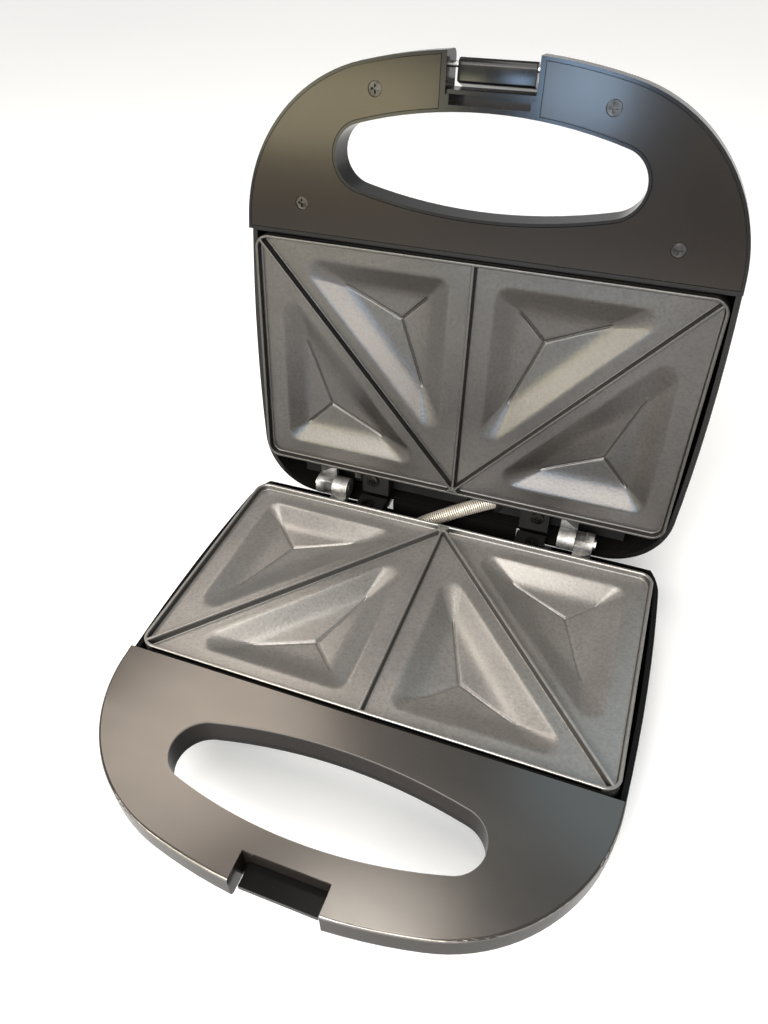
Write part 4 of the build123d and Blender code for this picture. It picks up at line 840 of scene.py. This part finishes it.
def makeSleeve():
    # a wire wound round a middle line that is straight in both sockets and an arc between them:
    # point = middle + (wound radius + wire radius * cos b) * outward + wire radius * sin b * way
    s = sleeve
    low, high = (toRow([s["entry"]], half)[0] / mm for half in ("base", "lid"))
    chord = high - low
    half = np.linalg.norm(chord) / 2
    chordWay = chord / (2 * half)
    bowWay = -seatAxes("base")[1] - seatAxes("lid")[1]
    bowWay = bowWay / np.linalg.norm(bowWay)
    bend = (half ** 2 + s["bow"] ** 2) / (2 * s["bow"])
    swing = math.asin(half / bend)
    arcLength = 2 * bend * swing
    length = arcLength + 2 * s["straight"]
    turns = int(length / s["pitch"])
    at = np.linspace(0, length, turns * s["perTurn"] + 1)
    share = np.clip((at - s["straight"]) / arcLength, 0, 1)
    turn = swing * (1 - 2 * share)
    out = bowWay * np.cos(turn)[:, None] - chordWay * np.sin(turn)[:, None]
    way = chordWay * np.cos(turn)[:, None] + bowWay * np.sin(turn)[:, None]
    centre = (low + high) / 2 - bowWay * bend * math.cos(swing)
    middle = centre + out * bend
    before = np.minimum(at - s["straight"], 0)[:, None]
    after = np.maximum(at - s["straight"] - arcLength, 0)[:, None]
    middle = middle + way * (before + after)
    across = np.cross(chordWay, bowWay)
    angle = 2 * math.pi * at / s["pitch"]
    outward = out * np.cos(angle)[:, None] + across * np.sin(angle)[:, None]
    around = np.linspace(0, 2 * math.pi, s["wireSides"], endpoint=False)
    wound = s["radius"] - s["wire"]
    points = (
        middle[:, None]
        + outward[:, None] * (wound + s["wire"] * np.cos(around))[None, :, None]
        + way[:, None] * (s["wire"] * np.sin(around))[None, :, None]
    )
    caps = np.stack([np.broadcast_to(points[k].mean(0), points[k].shape) for k in (0, -1)])
    points = np.concatenate([caps[:1], points, caps[1:]])
    mesh = gridMesh("sleeve", [{"points": points * mm, "wrapCols": True}])
    piece = weld("spring_sleeve", [mesh], ["springSteel"], s["sharpAngle"])
    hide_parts("spring_conduit")
    tuple(low * mm)
    tuple(high * mm)
    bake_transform(piece)
    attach(piece, "base")


makeSleeve()
print("sleeve done")

camera = {  # metres, degrees and millimetres, as solved from the photograph
    "place": (0.08101, -0.22954, 0.32810), "turn": (48.118, 0.910, 20.514), "lens": 27.206,
    "sensor": 36.0, "clip": 0.01,
}
cameraData = bpy.data.cameras.new("camera")
cameraData.lens = camera["lens"]
cameraData.sensor_width = camera["sensor"]
cameraData.clip_start = camera["clip"]
cameraObject = bpy.data.objects.new("camera", cameraData)
cameraObject.location = camera["place"]
cameraObject.rotation_euler = [math.radians(a) for a in camera["turn"]]
bpy.context.scene.collection.objects.link(cameraObject)
bpy.context.scene.camera = cameraObject


floor = {"half": 6.0, "drop": 0.0002, "steps": 9, "glow": 0.18}  # metres


def makeFloor():
    # a flat grid just under the feet: z = -drop
    grid = np.linspace(-floor["half"], floor["half"], floor["steps"])
    x, y = np.meshgrid(grid, grid, indexing="ij")
    points = np.stack([x, y, np.full(x.shape, -floor["drop"])], -1)
    piece = bpy.data.objects.new("floor", gridMesh("floor", [{"points": points}]))
    bpy.context.scene.collection.objects.link(piece)
    piece.data.materials.append(finish("paleFloor", lambda w: {
        "Base Color": w.noise(0.4, 2.0).ramp([(0.3, (0.90, 0.90, 0.90)), (0.7, (0.94, 0.94, 0.935))]),
        "Roughness": 0.75,
        "Emission Color": (1.0, 1.0, 1.0, 1),
        "Emission Strength": floor["glow"],
    }))


makeFloor()

# Area lights stand where the plates and handles mirror them: {name: (way, away, size, power, colour)}
lights = {
    "windowLeft": ((-0.47, 0.33, 0.82), 1.1, (0.46, 0.32), 1.4, (1.0, 0.90, 0.80)),
    "overhead": ((-0.09, -0.02, 0.995), 1.2, (0.74, 0.26), 3.6, (1.0, 0.96, 0.90)),
    "frontHigh": ((-0.19, -0.84, 0.49), 1.2, (0.66, 0.38), 7.4, (1.0, 0.95, 0.90)),
    "frontLeft": ((-0.66, -0.70, 0.26), 1.1, (0.28, 0.30), 3.0, (1.0, 0.95, 0.89)),
    "frontRight": ((0.26, -0.90, 0.34), 1.1, (0.34, 0.30), 4.4, (1.0, 0.95, 0.90)),
    "skyRight": ((0.26, 0.55, 0.80), 1.1, (0.44, 0.50), 0.55, (0.62, 0.86, 1.0)),
    "oliveLeft": ((-0.49, -0.86, 0.16), 0.9, (0.34, 0.13), 1.5, (0.96, 0.91, 0.60)),
    "bluePane": ((-0.105, -0.985, 0.20), 0.98, (0.14, 0.12), 1.7, (0.46, 0.69, 1.0)),
}
sunLight = {
    "way": (-0.15, -0.74, 0.66), "away": 3.0, "angle": 40.0, "strength": 2.5, "colour": (1.0, 0.975, 0.94),
}
lookAt = (0.0, 0.0, 0.08)


def aim(name, lamp, way, away):
    # the lamp stands away metres out along its way and shines back
    holder = bpy.data.objects.new(name, lamp)
    way = Vector(way).normalized()
    holder.location = Vector(lookAt) + way * away
    holder.rotation_euler = (-way).to_track_quat("-Z", "Y").to_euler()
    bpy.context.scene.collection.objects.link(holder)


for lightName, (way, away, size, power, colour) in lights.items():
    lamp = bpy.data.lights.new(lightName, "AREA")
    lamp.shape = "RECTANGLE"
    lamp.size, lamp.size_y = size
    lamp.energy = power
    lamp.color = colour
    aim(lightName, lamp, way, away)
sun = bpy.data.lights.new("softSun", "SUN")
sun.angle = math.radians(sunLight["angle"])
sun.energy = sunLight["strength"]
sun.color = sunLight["colour"]
aim("softSun", sun, sunLight["way"], sunLight["away"])

skyTones = [(0.0, 0.62), (0.12, 0.40), (0.45, 0.22), (1.0, 0.20)]  # grey by height above the horizon
world = bpy.data.worlds.new("studio")
world.use_nodes = True
sky = Wire(world.node_tree)
rise = sky.node("SeparateXYZ", {}, {0: sky.node("TexCoord", out=0)}, out=2)
background = world.node_tree.nodes["Background"]
world.node_tree.links.new(rise.ramp(skyTones).socket, background.inputs["Color"])
background.inputs["Strength"].default_value = 1.0
bpy.context.scene.world = world
bpy.context.scene.view_settings.view_transform = "Standard"
print("stage done")
